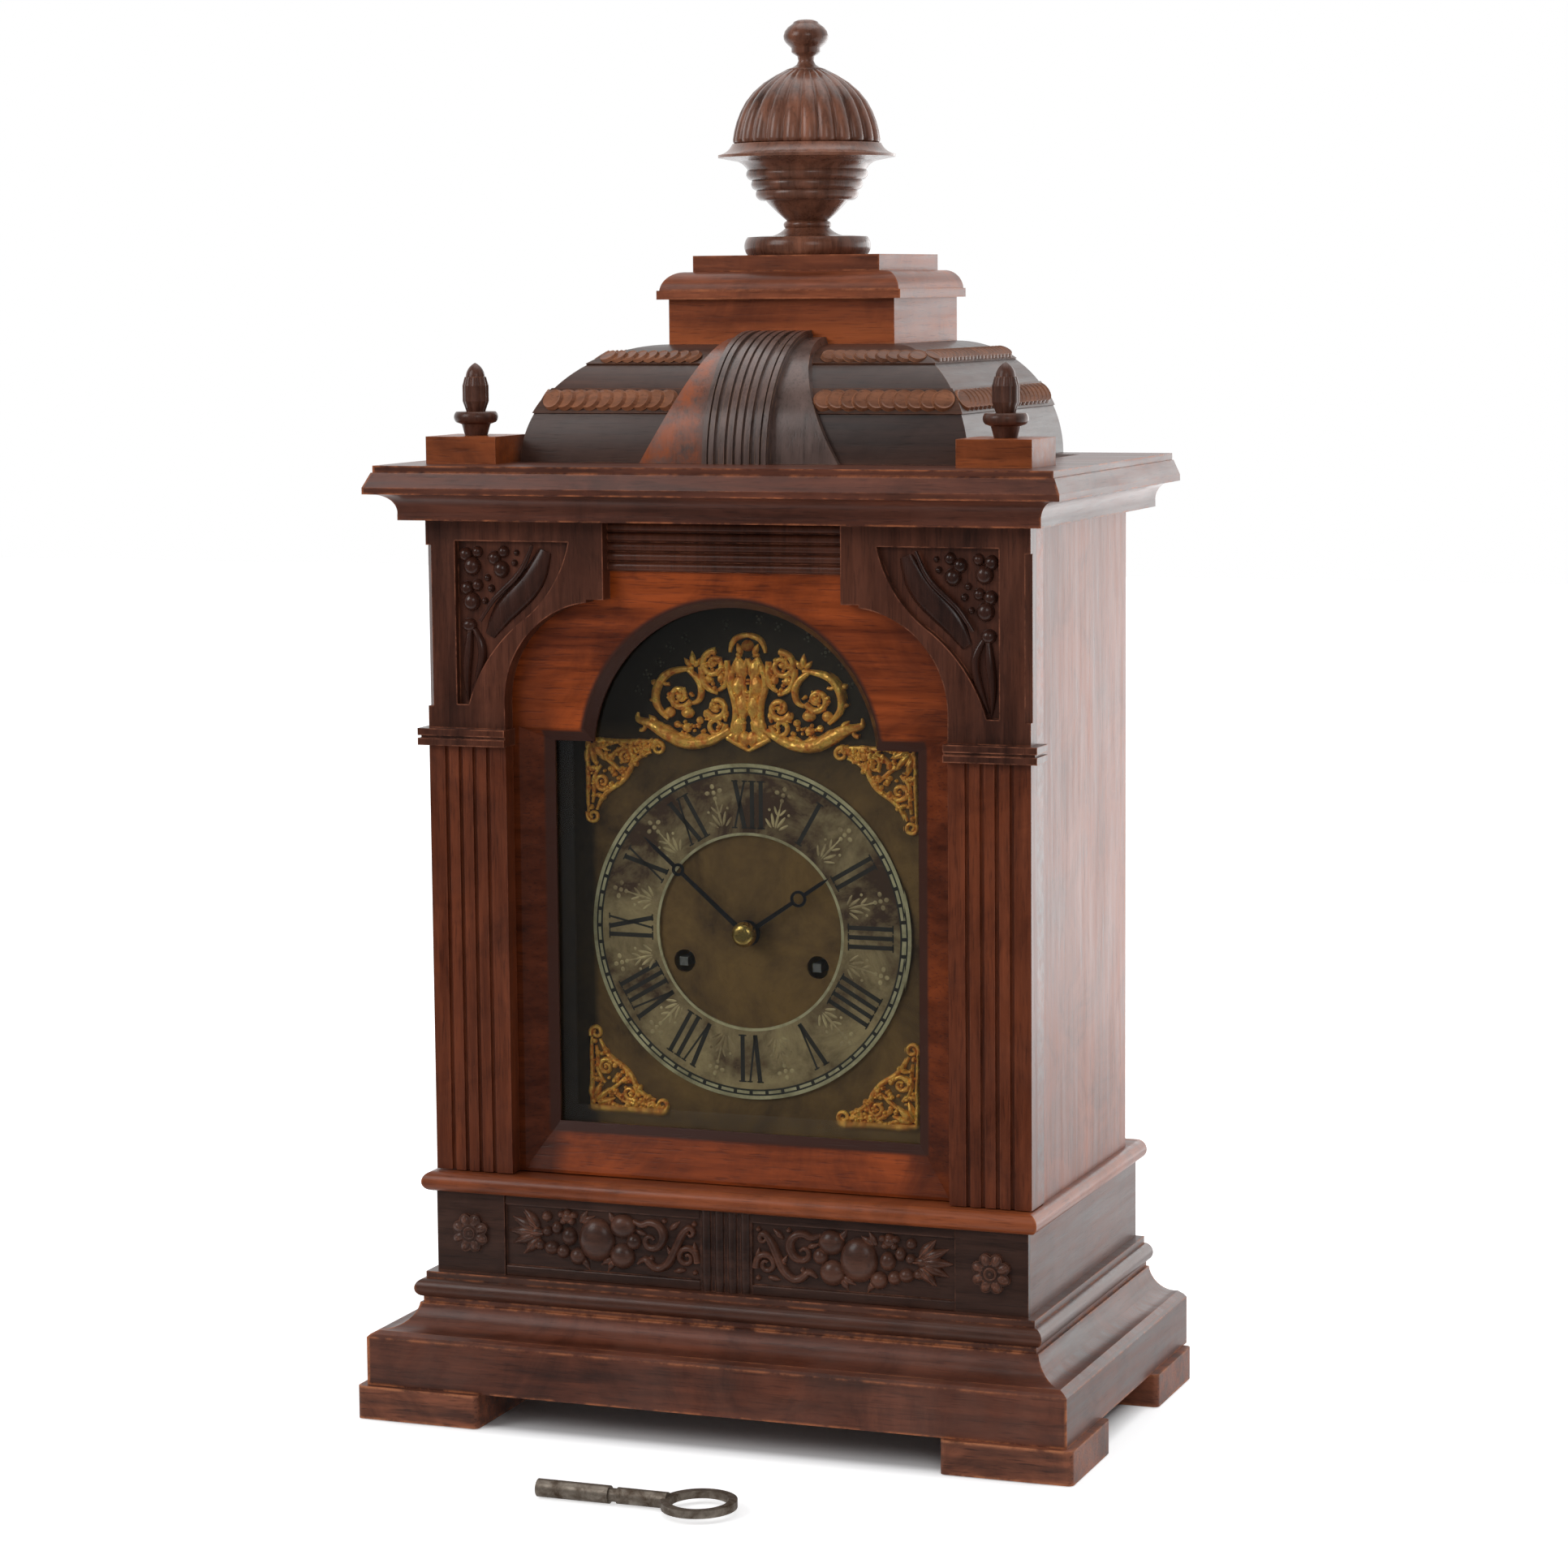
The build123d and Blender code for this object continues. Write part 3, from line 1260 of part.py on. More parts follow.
fly += Pos(fly_place[0], 0, fly_place[1]) * slab(
    -fly_reach, fly_reach, back_plate_front + 16, back_plate_front + 16 + fly_length, -0.5, 0.5
)
nodes["fly"] = fly

# Hammers on one arbor, resting just off the gong rods
hammer_rear = back_plate_back - 4.0
rod_x = hammer_head_x + hammer_head_radius + hammer_rest_gap + rod_radius
rod_depths = (hammer_rear - 2.0, hammer_rear - 2.0 - gong_rod_spacing)
head_z = dial_z - hammer_head_drop
hammers = pivot(thin_arbor_radius, rod_depths[1] - 1.0, front_plate_front, *hammer_place)
arm_direction = facing(hammer_place, (hammer_head_x, head_z))
arm_length = math.dist(hammer_place, (hammer_head_x, head_z))
for rod_depth in rod_depths:
    arm = Pos(hammer_place[0], at(rod_depth), hammer_place[1]) * Rot(0, -arm_direction, 0)
    arm *= Pos(arm_length / 2, 0, 0) * Box(arm_length, 1.6, 2.4)
    hammers += arm
    hammers += pivot(hammer_head_radius, rod_depth - 3.0, rod_depth + 3.0, hammer_head_x, head_z)
nodes["hammers"] = hammers

# Gong rods in a cast block on the floor of the case
rods = [
    upright_pin(rod_radius, body_low + gong_block_height - 8, body_low + gong_rod_height, rod_x, depth)
    for depth in rod_depths
]
block_middle = sum(rod_depths) / 2
gong_block_solid = slab(
    rod_x - gong_block_size / 2, rod_x + gong_block_size / 2, block_middle - gong_block_size / 2,
    block_middle + gong_block_size / 2, body_low, body_low + gong_block_height,
)
nodes["gong"] = group(gong_block_solid - rods[0] - rods[1], *rods)

# Anchor with its arbor and crutch
crutch_rear = back_plate_back - 4.5
rod_depth = back_plate_back - pendulum_stand
anchor = pivot(thin_arbor_radius, crutch_rear - 1.0, front_plate_front, *anchor_place)
pallet_angle = 40.0
pallet_reach = escape_radius + pallet_clearance
pallet_x, pallet_z = polar((0.0, -anchor_drop), pallet_reach, 90 - pallet_angle)
anchor_face = outline(
    (0, 2.6), ((pallet_x * 0.62, -0.6), (pallet_x + 2.2, pallet_z + 1.4)), (pallet_x, pallet_z),
    (pallet_x - 1.2, pallet_z + 1.8), ((pallet_x * 0.5, -3.6), (0, -2.6)),
    ((-pallet_x * 0.5, -3.6), (1.2 - pallet_x, pallet_z + 1.8)), (-pallet_x, pallet_z),
    (-pallet_x - 2.2, pallet_z + 1.4), ((-pallet_x * 0.62, -0.6), (0, 2.6)),
)
anchor += upright(Pos(*anchor_place, 0) * anchor_face, escape_wheel_rear - 0.5, escape_wheel_rear + wheel_thickness + 0.5)
crutch_low = anchor_place[1] - crutch_length
anchor += slab(-1.5, 1.5, crutch_rear, crutch_rear + 1.5, crutch_low, anchor_place[1])
fork_in = rod_radius + fork_play
fork = slab(fork_in, fork_in + 1.4, rod_depth - 2.0, crutch_rear + 1.5, crutch_low - 2, crutch_low + 2)
anchor += slab(-fork_in - 1.4, fork_in + 1.4, crutch_rear, crutch_rear + 1.5, crutch_low - 2, crutch_low + 2)
anchor += fork
anchor += mirror(fork, about=Plane.YZ)
nodes["anchor"] = anchor

# Back cock, with the pin that the pendulum hangs on
cock_rear = back_plate_back - cock_reach
pin_front = crutch_rear - 2.0
cock_z = anchor_place[1]
cock = slab(-9, 9, back_plate_back - 2.5, back_plate_back, cock_z + 6, cock_z + 17)
cock += slab(-5, 5, cock_rear, back_plate_back, cock_z + 6, cock_z + 9)
cock += slab(-5, 5, cock_rear, cock_rear + 2.5, cock_z - 5, cock_z + 9)
cock += pivot(thin_arbor_radius, cock_rear, pin_front, 0, cock_z)
nodes["back_cock"] = cock

# Pendulum: a rod with an eye, a lens bob and a rating nut
eye_front = rod_depth + eye_half_width
eye_rear = rod_depth - eye_half_width
bob_z = cock_z - pendulum_length
rod_low = bob_z - bob_radius - 8
pendulum = pivot(3.6, eye_rear, eye_front, 0, cock_z)
pendulum += upright_pin(rod_radius, rod_low, cock_z - 2.5, 0, rod_depth)
pendulum -= pivot(thin_arbor_radius + running_clearance, eye_rear, eye_front, 0, cock_z)
bob_face = outline(
    (0, -bob_thickness / 2), ((bob_radius * 0.62, -bob_thickness * 0.36), (bob_radius, -0.6)), (bob_radius, 0.6),
    ((bob_radius * 0.62, bob_thickness * 0.36), (0, bob_thickness / 2)),
)
bob = Pos(0, at(rod_depth), bob_z) * Rot(90, 0, 0) * revolve(Plane.XZ * bob_face, Axis.Z, 360)
nodes["pendulum_bob"] = bob - upright_pin(rod_radius, bob_z - bob_radius - 1, bob_z + bob_radius + 1, 0, rod_depth)
nut_low = bob_z - bob_radius - 4.5
rating_nut = upright_pin(4.5, nut_low, bob_z - bob_radius, 0, rod_depth) - upright_pin(
    rod_radius, nut_low, bob_z - bob_radius, 0, rod_depth
)
nodes["pendulum_rod"] = group(pendulum, rating_nut)

# Winding key, lying on the floor in front of the clock
key = Pos(key_pipe_length / 2, 0, 0) * Rot(0, 90, 0) * Cylinder(key_pipe_radius, key_pipe_length)
waist_start = key_pipe_length
stem_start = waist_start + key_waist_length
bow_start = stem_start + key_stem_length
key += Pos(waist_start + key_waist_length / 2, 0, 0) * Rot(0, 90, 0) * Cylinder(key_waist_radius, key_waist_length)
key += Pos(stem_start + key_stem_length / 2, 0, 0) * Rot(0, 90, 0) * Cylinder(key_stem_radius, key_stem_length)
bow_face = Ellipse(bow_length / 2, bow_width / 2) - Ellipse(bow_length / 2 - bow_stock, bow_width / 2 - bow_stock)
bow = Pos(0, 0, -bow_thickness / 2) * extrude(bow_face, amount=bow_thickness)
key += Pos(bow_start + bow_length / 2 - bow_stock / 2, 0, 0) * bow
key -= Pos(key_square_depth / 2, 0, 0) * Box(key_square_depth, key_square, key_square)
nodes["winding_key"] = Pos(key_start, key_y, key_pipe_radius) * key

os.makedirs("parts", exist_ok=True)
for name, shape in nodes.items():
    export_step(shape, f"parts/{name}.step")
print(len(nodes), "nodes")
print("hinges", round(hinge_x, 3), round(at(pin_depth), 3), round(back_hinge_x, 3), round(at(back_pin_depth), 3))
print("places", [tuple(round(value, 3) for value in place) for place, _ in arbors], "stud", stud_place)
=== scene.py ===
import math
import random

import bmesh
import bpy
from mathutils import Matrix, Vector


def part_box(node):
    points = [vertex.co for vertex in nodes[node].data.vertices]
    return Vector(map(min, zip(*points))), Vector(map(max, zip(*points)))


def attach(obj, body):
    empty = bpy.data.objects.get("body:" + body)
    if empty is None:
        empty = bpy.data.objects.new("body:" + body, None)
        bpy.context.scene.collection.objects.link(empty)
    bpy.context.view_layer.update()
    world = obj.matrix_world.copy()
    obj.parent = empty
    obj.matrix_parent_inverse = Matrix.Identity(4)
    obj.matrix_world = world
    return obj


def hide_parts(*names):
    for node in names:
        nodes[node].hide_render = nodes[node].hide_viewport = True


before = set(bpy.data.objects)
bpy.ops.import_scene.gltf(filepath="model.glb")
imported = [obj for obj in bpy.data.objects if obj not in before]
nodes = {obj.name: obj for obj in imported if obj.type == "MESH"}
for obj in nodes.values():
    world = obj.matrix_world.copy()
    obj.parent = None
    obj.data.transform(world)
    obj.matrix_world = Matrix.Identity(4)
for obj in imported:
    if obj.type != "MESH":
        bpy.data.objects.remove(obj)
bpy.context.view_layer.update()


# The studio: a bracket clock about 610 mm high stands on a white floor that
# runs back under a white backdrop. A large soft lamp stands to the front left,
# a lit white panel behind on the right, and the room in front is dim.
mm = 0.001
camera_turn = math.radians(20.809)
camera_rise = math.radians(6.807)
camera_roll = math.radians(-0.508)
camera_place = Vector((0.65493, -1.66824, 0.49479))

back = Vector((
    math.sin(camera_turn) * math.cos(camera_rise),
    -math.cos(camera_turn) * math.cos(camera_rise),
    math.sin(camera_rise),
))
right = Vector((math.cos(camera_turn), math.sin(camera_turn), 0))
up = back.cross(right)
rolled_right = right * math.cos(camera_roll) + up * math.sin(camera_roll)
rolled_up = up * math.cos(camera_roll) - right * math.sin(camera_roll)
camera_data = bpy.data.cameras.new("photograph_camera")
camera_data.lens = 96.53
camera_data.sensor_width = 36.0
camera_data.clip_start = 0.05
camera = bpy.data.objects.new("photograph_camera", camera_data)
bpy.context.scene.collection.objects.link(camera)
aimed = Matrix((rolled_right, rolled_up, back)).transposed().to_4x4()
camera.matrix_world = Matrix.Translation(camera_place) @ aimed
bpy.context.scene.camera = camera
bpy.context.scene.view_settings.view_transform = "Standard"


def soft_lamp(name, place, aim, width, height, watts):
    """A lamp behind a sheet of silk, hidden from the camera."""
    data = bpy.data.lights.new(name, "AREA")
    data.shape = "RECTANGLE"
    data.size = width
    data.size_y = height
    data.energy = watts
    lamp = bpy.data.objects.new(name, data)
    bpy.context.scene.collection.objects.link(lamp)
    lamp.location = place
    lamp.rotation_euler = (Vector(aim) - Vector(place)).to_track_quat("-Z", "Y").to_euler()
    lamp.visible_camera = False


soft_lamp("front_left_softbox", (-1.30, -1.50, 1.45), (0, 0, 0.28), 1, 1.2, 17)
soft_lamp("front_fill", (1.1, -1.8, 1.2), (0, 0, 0.25), 0.8, 0.8, 5)
soft_lamp("lit_panel", (0.46, 0.92, 0.24), (0.13, 0.06, 0.12), 1.1, 0.9, 4.8)
soft_lamp("top_softbox", (0, 0.2, 1.9), (0, 0, 0.3), 1.4, 1.4, 9)


def add(tree, kind, feeds=None, **settings):
    """A shader node; feeds gives an input its value or the socket that it is linked to."""
    node = tree.nodes.new("ShaderNode" + kind)
    for key, value in settings.items():
        setattr(node, key, value)
    for title, given in (feeds or {}).items():
        if isinstance(given, bpy.types.NodeSocket):
            tree.links.new(given, node.inputs[title])
        else:
            node.inputs[title].default_value = given
    return node


def worked_out(tree, operation, *terms, clamp=False):
    """The outcome of a sum, kept between 0 and 1 if it is clamped."""
    return add(tree, "Math", dict(enumerate(terms)), operation=operation, use_clamp=clamp).outputs[0]


def mask(tree, operation, first, second):
    """A sum kept between 0 and 1, as a mask must be."""
    return worked_out(tree, operation, first, second, clamp=True)


def between(tree, value, low, high, at_low=0.0, at_high=1.0):
    """Goes from at_low to at_high while the value goes from low to high."""
    ends = {"Value": value, "From Min": low, "From Max": high, "To Min": at_low, "To Max": at_high}
    return add(tree, "MapRange", ends).outputs["Result"]


def either(tree, share, first, second):
    """The first shader where the share is 0, the second where it is 1."""
    return add(tree, "MixShader", {0: share, 1: first, 2: second}).outputs[0]


def looked_at(tree, path):
    """One where the camera sees a surface itself or straight through glass."""
    bounced = mask(tree, "ADD", path["Diffuse Depth"], path["Glossy Depth"])
    through = mask(tree, "SUBTRACT", path["Is Transmission Ray"], bounced)
    return mask(tree, "MAXIMUM", path["Is Camera Ray"], through)


def lit(tree, shade, strength):
    """Light that comes in from the room."""
    return add(tree, "Background", {"Color": shade, "Strength": strength}).outputs[0]


world = bpy.data.worlds.new("white_studio")
bpy.context.scene.world = world
world.use_nodes = True
tree = world.node_tree
tree.nodes.clear()
path = add(tree, "LightPath").outputs
direction = add(tree, "SeparateXYZ", {0: add(tree, "TexCoord").outputs["Generated"]}).outputs
behind = between(tree, direction["Y"], -0.25, 0.15)
backdrop = lit(tree, (1, 1, 1, 1), 1)
mirrored = either(tree, behind, lit(tree, (0.95, 0.97, 1, 1), 0.10), backdrop)
glossy_or_through = mask(tree, "MAXIMUM", path["Is Glossy Ray"], path["Is Transmission Ray"])
unseen = either(tree, glossy_or_through, lit(tree, (0.96, 0.97, 1, 1), 0.42), mirrored)
add(tree, "OutputWorld", {"Surface": either(tree, looked_at(tree, path), unseen, backdrop)})

floor_mesh = bpy.data.meshes.new("floor")
bm = bmesh.new()
bmesh.ops.create_grid(bm, x_segments=1, y_segments=1, size=1.0)
bmesh.ops.scale(bm, vec=(4, 3.2, 1), verts=bm.verts)
bmesh.ops.translate(bm, vec=(0, 1.9, -0.0004), verts=bm.verts)
bm.to_mesh(floor_mesh)
bm.free()
floor = bpy.data.objects.new("floor", floor_mesh)
bpy.context.scene.collection.objects.link(floor)


def new_material(name):
    """A material and its empty node tree."""
    material = bpy.data.materials.new(name)
    material.use_nodes = True
    material.node_tree.nodes.clear()
    return material, material.node_tree


def spot(tree):
    """The place of a point on its piece, in metres, as a vector and as named parts."""
    place = add(tree, "TexCoord").outputs["Object"]
    return place, add(tree, "SeparateXYZ", {0: place}).outputs


# The paper glows where the camera sees it, so that it stays white, but not
# under the clock and not in what the wood mirrors of the room in front.
paper, tree = new_material("white_paper")
path = add(tree, "LightPath").outputs
place, part = spot(tree)
seen = looked_at(tree, path)
glossy_or_through = mask(tree, "MAXIMUM", path["Is Glossy Ray"], path["Is Transmission Ray"])
not_seen = mask(tree, "SUBTRACT", glossy_or_through, seen)
in_front = between(tree, part["Y"], -0.30, 0, 1, 0)
albedo = between(tree, mask(tree, "MULTIPLY", not_seen, in_front), 0, 1, 0.86, 0.08)
mirrored_behind = mask(tree, "SUBTRACT", not_seen, in_front)
across_foot = between(tree, worked_out(tree, "ABSOLUTE", part["X"]), 0.146, 0.160, 1, 0)
front_foot = between(tree, part["Y"], -0.054, -0.038)
back_foot = between(tree, part["Y"], 0.135, 0.150, 1, 0)
under_clock = mask(tree, "MULTIPLY", across_foot, mask(tree, "MULTIPLY", front_foot, back_foot))
open_floor = mask(tree, "SUBTRACT", mask(tree, "MAXIMUM", seen, mirrored_behind), under_clock)
lift = between(tree, part["Y"], 0.15, 1.4, 0.58, 1)
glow = mask(tree, "MULTIPLY", open_floor, lift)
surface = add(tree, "BsdfPrincipled", {"Base Color": albedo, "Emission Strength": glow})
surface.inputs["Roughness"].default_value = 0.8
surface.inputs["Specular IOR Level"].default_value = 0.1
surface.inputs["Emission Color"].default_value = (1, 1, 1, 1)
add(tree, "OutputMaterial", {"Surface": surface.outputs[0]})
floor_mesh.materials.append(paper)


# The case wood: walnut, stained and wax polished. Every board is cut with its
# grain along its length, and its sharp edges are rubbed through to paler wood.
def colour(red, green, blue):
    """A colour as a picker shows it, made linear."""
    parts = (value / 255.0 for value in (red, green, blue))
    return tuple(p / 12.92 if p <= 0.04045 else ((p + 0.055) / 1.055) ** 2.4 for p in parts) + (1,)


def new_group(name, takes, gives):
    """A node group with its named inputs and outputs, and the sockets to link them by."""
    group = bpy.data.node_groups.new(name, "ShaderNodeTree")
    for title, kind, value in takes:
        socket = group.interface.new_socket(title, in_out="INPUT", socket_type="NodeSocket" + kind)
        if value is not None:
            socket.default_value = value
    for title, kind in gives:
        group.interface.new_socket(title, in_out="OUTPUT", socket_type="NodeSocket" + kind)
    return group, group.nodes.new("NodeGroupInput").outputs, group.nodes.new("NodeGroupOutput").inputs


def noise(tree, place, scale, detail, rough=0.5, distort=0.0):
    """Soft clouds of a number of spots to the metre."""
    feeds = {"Vector": place, "Scale": scale, "Detail": detail, "Roughness": rough, "Distortion": distort}
    return add(tree, "TexNoise", feeds).outputs[0]


def blend(tree, share, under, over, how="MIX"):
    """Two colours, the second laid over the first by a share."""
    feeds = {"Factor": share, 6: under, 7: over}
    return add(tree, "Mix", feeds, data_type="RGBA", blend_type=how).outputs[2]


# A mitred run has its grain along X on the front and back boards, and along Y
# on the two return boards. The mask is 1 on the returns.
on_return, _, gives = new_group("on_return", [], [("Mask", "Float")])
facing = add(on_return, "SeparateXYZ", {0: add(on_return, "TexCoord").outputs["Normal"]}).outputs
sideways = worked_out(on_return, "ABSOLUTE", facing["X"])
on_return.links.new(worked_out(on_return, "GREATER_THAN", sideways, 0.6), gives["Mask"])

# Walnut figure: broad bands, fine streaks and dark open pores, all drawn out
# along the grain by the vector that comes in.
walnut_figure, takes, gives = new_group(
    "walnut_figure",
    [
        ("Place", "Vector", None), ("Dark", "Color", colour(50, 28, 20)),
        ("Light", "Color", colour(110, 60, 38)),
        ("Bands", "Float", 0.5), ("Pores", "Float", 0.35), ("Gloss", "Float", 0.3),
    ],
    [("Colour", "Color"), ("Height", "Float"), ("Roughness", "Float")],
)
wide = noise(walnut_figure, takes["Place"], 34, 3, 0.55, 0.5)
fine = noise(walnut_figure, takes["Place"], 210, 6, 0.65, 0.25)
pores = noise(walnut_figure, takes["Place"], 1250, 2)
wide_part = between(walnut_figure, wide, 0.32, 0.68)
fine_part = between(walnut_figure, fine, 0.33, 0.67)
banded = add(walnut_figure, "Mix", {"Factor": takes["Bands"], 2: fine_part, 3: wide_part}).outputs[0]
ground = blend(walnut_figure, banded, takes["Dark"], takes["Light"])
pore_mask = between(walnut_figure, pores, 0.57, 0.68)
pore_share = worked_out(walnut_figure, "MULTIPLY", pore_mask, takes["Pores"])
pored = blend(walnut_figure, pore_share, ground, (0.18, 0.12, 0.1, 1), "MULTIPLY")
height = worked_out(walnut_figure, "SUBTRACT", banded, pore_mask)
rough = worked_out(walnut_figure, "MULTIPLY_ADD", fine_part, 0.14, takes["Gloss"])
walnut_figure.links.new(pored, gives["Colour"])
walnut_figure.links.new(height, gives["Height"])
walnut_figure.links.new(rough, gives["Roughness"])

# Rubbed edges: where the surface turns sharply, broken up so that the wear
# comes and goes along the edge.
rubbed_edge, takes, gives = new_group(
    "rubbed_edge",
    [("Place", "Vector", None), ("Width", "Float", 0.0009), ("Amount", "Float", 0.6)],
    [("Mask", "Float")],
)
rounded = add(rubbed_edge, "Bevel", {"Radius": takes["Width"]}, samples=6).outputs[0]
flat = add(rubbed_edge, "NewGeometry").outputs["Normal"]
alike = add(rubbed_edge, "VectorMath", {0: rounded, 1: flat}, operation="DOT_PRODUCT").outputs["Value"]
turn = between(rubbed_edge, alike, 0.996, 0.93)
broken = between(rubbed_edge, noise(rubbed_edge, takes["Place"], 95, 5, 0.7), 0.42, 0.62)
worn = worked_out(rubbed_edge, "MULTIPLY", turn, broken)
rubbed_edge.links.new(worked_out(rubbed_edge, "MULTIPLY", worn, takes["Amount"]), gives["Mask"])

# Old polish: cloudy patches where wax and dust have built up, and smoky ones
# where it has darkened.
cloudy_polish, takes, gives = new_group(
    "cloudy_polish",
    [("Place", "Vector", None), ("Colour", "Color", None), ("Haze", "Float", 0.1), ("Shade", "Float", 0.4)],
    [("Colour", "Color")],
)
cloud = between(cloudy_polish, noise(cloudy_polish, takes["Place"], 17, 5, 0.62, 0.6), 0.38, 0.72)
haze = worked_out(cloudy_polish, "MULTIPLY", cloud, takes["Haze"])
smoke = between(cloudy_polish, noise(cloudy_polish, takes["Place"], 23, 6, 0.66, 0.9), 0.44, 0.68)
shade = worked_out(cloudy_polish, "MULTIPLY", smoke, takes["Shade"])
shaded = blend(cloudy_polish, shade, takes["Colour"], (0.16, 0.11, 0.09, 1), "MULTIPLY")
cloudy_polish.links.new(blend(cloudy_polish, haze, shaded, colour(128, 112, 104)), gives["Colour"])

along_x = (0.07, 1, 1)
drawn_out = {"run": along_x, "x": along_x, "z": (1, 1, 0.07)}


def finish_with(material, *names):
    """Gives pieces of the frame their material."""
    for name in names:
        mesh = nodes[name].data
        mesh.materials.clear()
        mesh.materials.append(material)


def polished_walnut(
    name, dark, light, *pieces, grain="run", start=(0, 0, 0), bands=0.5, pores=0.35, gloss=0.3, rub=0.6,
    rub_width=0.9, bare=(150, 92, 60), haze=0.08, shade=0.45, shine=0.35, relief=0.25,
):
    """Stained walnut with its own two tones, grain and wear, given to the pieces that it names."""
    wood, tree = new_material(name)
    place, part = spot(tree)
    lengthwise = place
    if grain == "run":
        returns = add(tree, "Group", node_tree=on_return).outputs["Mask"]
        swapped = add(tree, "CombineXYZ", {"X": part["Y"], "Y": part["X"], "Z": part["Z"]}).outputs[0]
        picked = add(tree, "Mix", {"Factor": returns, 4: place, 5: swapped}, data_type="VECTOR")
        lengthwise = picked.outputs[1]
    cut = add(tree, "Mapping", {"Vector": lengthwise, "Location": start, "Scale": drawn_out[grain]})
    feeds = {"Place": cut.outputs[0], "Dark": colour(*dark), "Light": colour(*light)}
    feeds |= {"Bands": bands, "Pores": pores, "Gloss": gloss}
    figure = add(tree, "Group", feeds, node_tree=walnut_figure).outputs
    feeds = {"Place": place, "Colour": figure["Colour"], "Haze": haze, "Shade": shade}
    clouded = add(tree, "Group", feeds, node_tree=cloudy_polish).outputs["Colour"]
    feeds = {"Place": place, "Width": rub_width * mm, "Amount": rub}
    rubbed = add(tree, "Group", feeds, node_tree=rubbed_edge).outputs["Mask"]
    worn = blend(tree, rubbed, clouded, colour(*bare))
    duller = worked_out(tree, "MULTIPLY_ADD", rubbed, 0.2, figure["Roughness"])
    bump = add(tree, "Bump", {"Strength": relief, "Distance": 0.00012, "Height": figure["Height"]})
    surface = add(
        tree, "BsdfPrincipled", {"Base Color": worn, "Roughness": duller, "Normal": bump.outputs[0]},
    )
    surface.inputs["Specular IOR Level"].default_value = 0.22
    surface.inputs["Coat Weight"].default_value = shine * 0.6
    surface.inputs["Coat Roughness"].default_value = 0.22
    surface.inputs["Coat IOR"].default_value = 1.4
    add(tree, "OutputMaterial", {"Surface": surface.outputs[0]})
    finish_with(wood, *pieces)
    return wood


# Four block feet, glued and screwed under the corners. Their stain has worn
# off at the edges where the clock has been dragged across shelves.
polished_walnut(
    "foot_wood", (66, 36, 26), (170, 100, 70), "feet", grain="x", bands=0.45, pores=0.6, gloss=0.42, rub=1.2,
    rub_width=2.4, bare=(190, 122, 84), haze=0.06, shade=0.8, shine=0.15, relief=0.5,
)


# The moulded plinth and the bead above it: solid walnut lengths, mitred at
# the front corners, stained dark. The fascia is scuffed along both edges.
polished_walnut(
    "plinth_wood", (56, 27, 18), (126, 68, 46), "plinth", gloss=0.34, rub=1.3, rub_width=2.0,
    bare=(178, 108, 70), haze=0.14, shade=0.6, shine=0.3,
)
polished_walnut(
    "bead_wood", (48, 27, 20), (110, 64, 46), "base_bead", start=(0.1, 0.2, 0.05), rub=1.1, rub_width=1.6,
    bare=(158, 96, 64), haze=0.14, shine=0.4,
)


# The pedestal above the bead: plain returns at the sides, and a front made of
# two rosette blocks, two carved panels and a reeded block, all dark stained.
polished_walnut(
    "pedestal_wood", (58, 30, 21), (112, 62, 43), "pedestal", start=(0.3, 0.1, 0), gloss=0.32, rub=1.0,
    haze=0.06,
)
carved_wood = polished_walnut(
    "carved_wood", (36, 21, 16), (82, 52, 40), "rosette_blocks", "frieze_tablet", grain="x",
    start=(0.2, 0, 0.3), gloss=0.33, rub=0.75, rub_width=0.7, bare=(132, 84, 62), haze=0.05, shine=0.4,
)
polished_walnut(
    "waist_wood", (92, 40, 18), (168, 88, 48), "waist_board", start=(0, 0.4, 0.1), rub=0.8, rub_width=1.6,
    bare=(204, 120, 72), haze=0.04, shine=0.4,
)


# The carved fruit: each panel is one board with its ground cut back between
# two strips, and an apple, pears, berries, leaves and a ribbon left standing.
# The right panel mirrors the left.
def lump(bm, x, z, wide, tall, rise, face, turn=0.0, point=0.0, across_steps=16, up_steps=10, carry=Matrix()):
    """A rounded lump standing out of an upright face, drawn to a point upwards by a share."""
    one = bmesh.new()
    made = bmesh.ops.create_uvsphere(one, u_segments=across_steps, v_segments=up_steps, radius=1.0)["verts"]
    for vert in made:
        narrow = 1.0 - point * max(0, vert.co.z) ** 1.3
        vert.co.x *= narrow
        vert.co.y *= narrow
    place = carry @ Matrix.Translation((x * mm, face, z * mm)) @ Matrix.Rotation(math.radians(turn), 4, "Y")
    place = place @ Matrix.Diagonal((wide * 0.5 * mm, rise * mm, tall * 0.5 * mm, 1))
    bmesh.ops.transform(one, matrix=place, verts=made)
    mesh = bpy.data.meshes.new("lump")
    one.to_mesh(mesh)
    one.free()
    bm.from_mesh(mesh)
    bpy.data.meshes.remove(mesh)


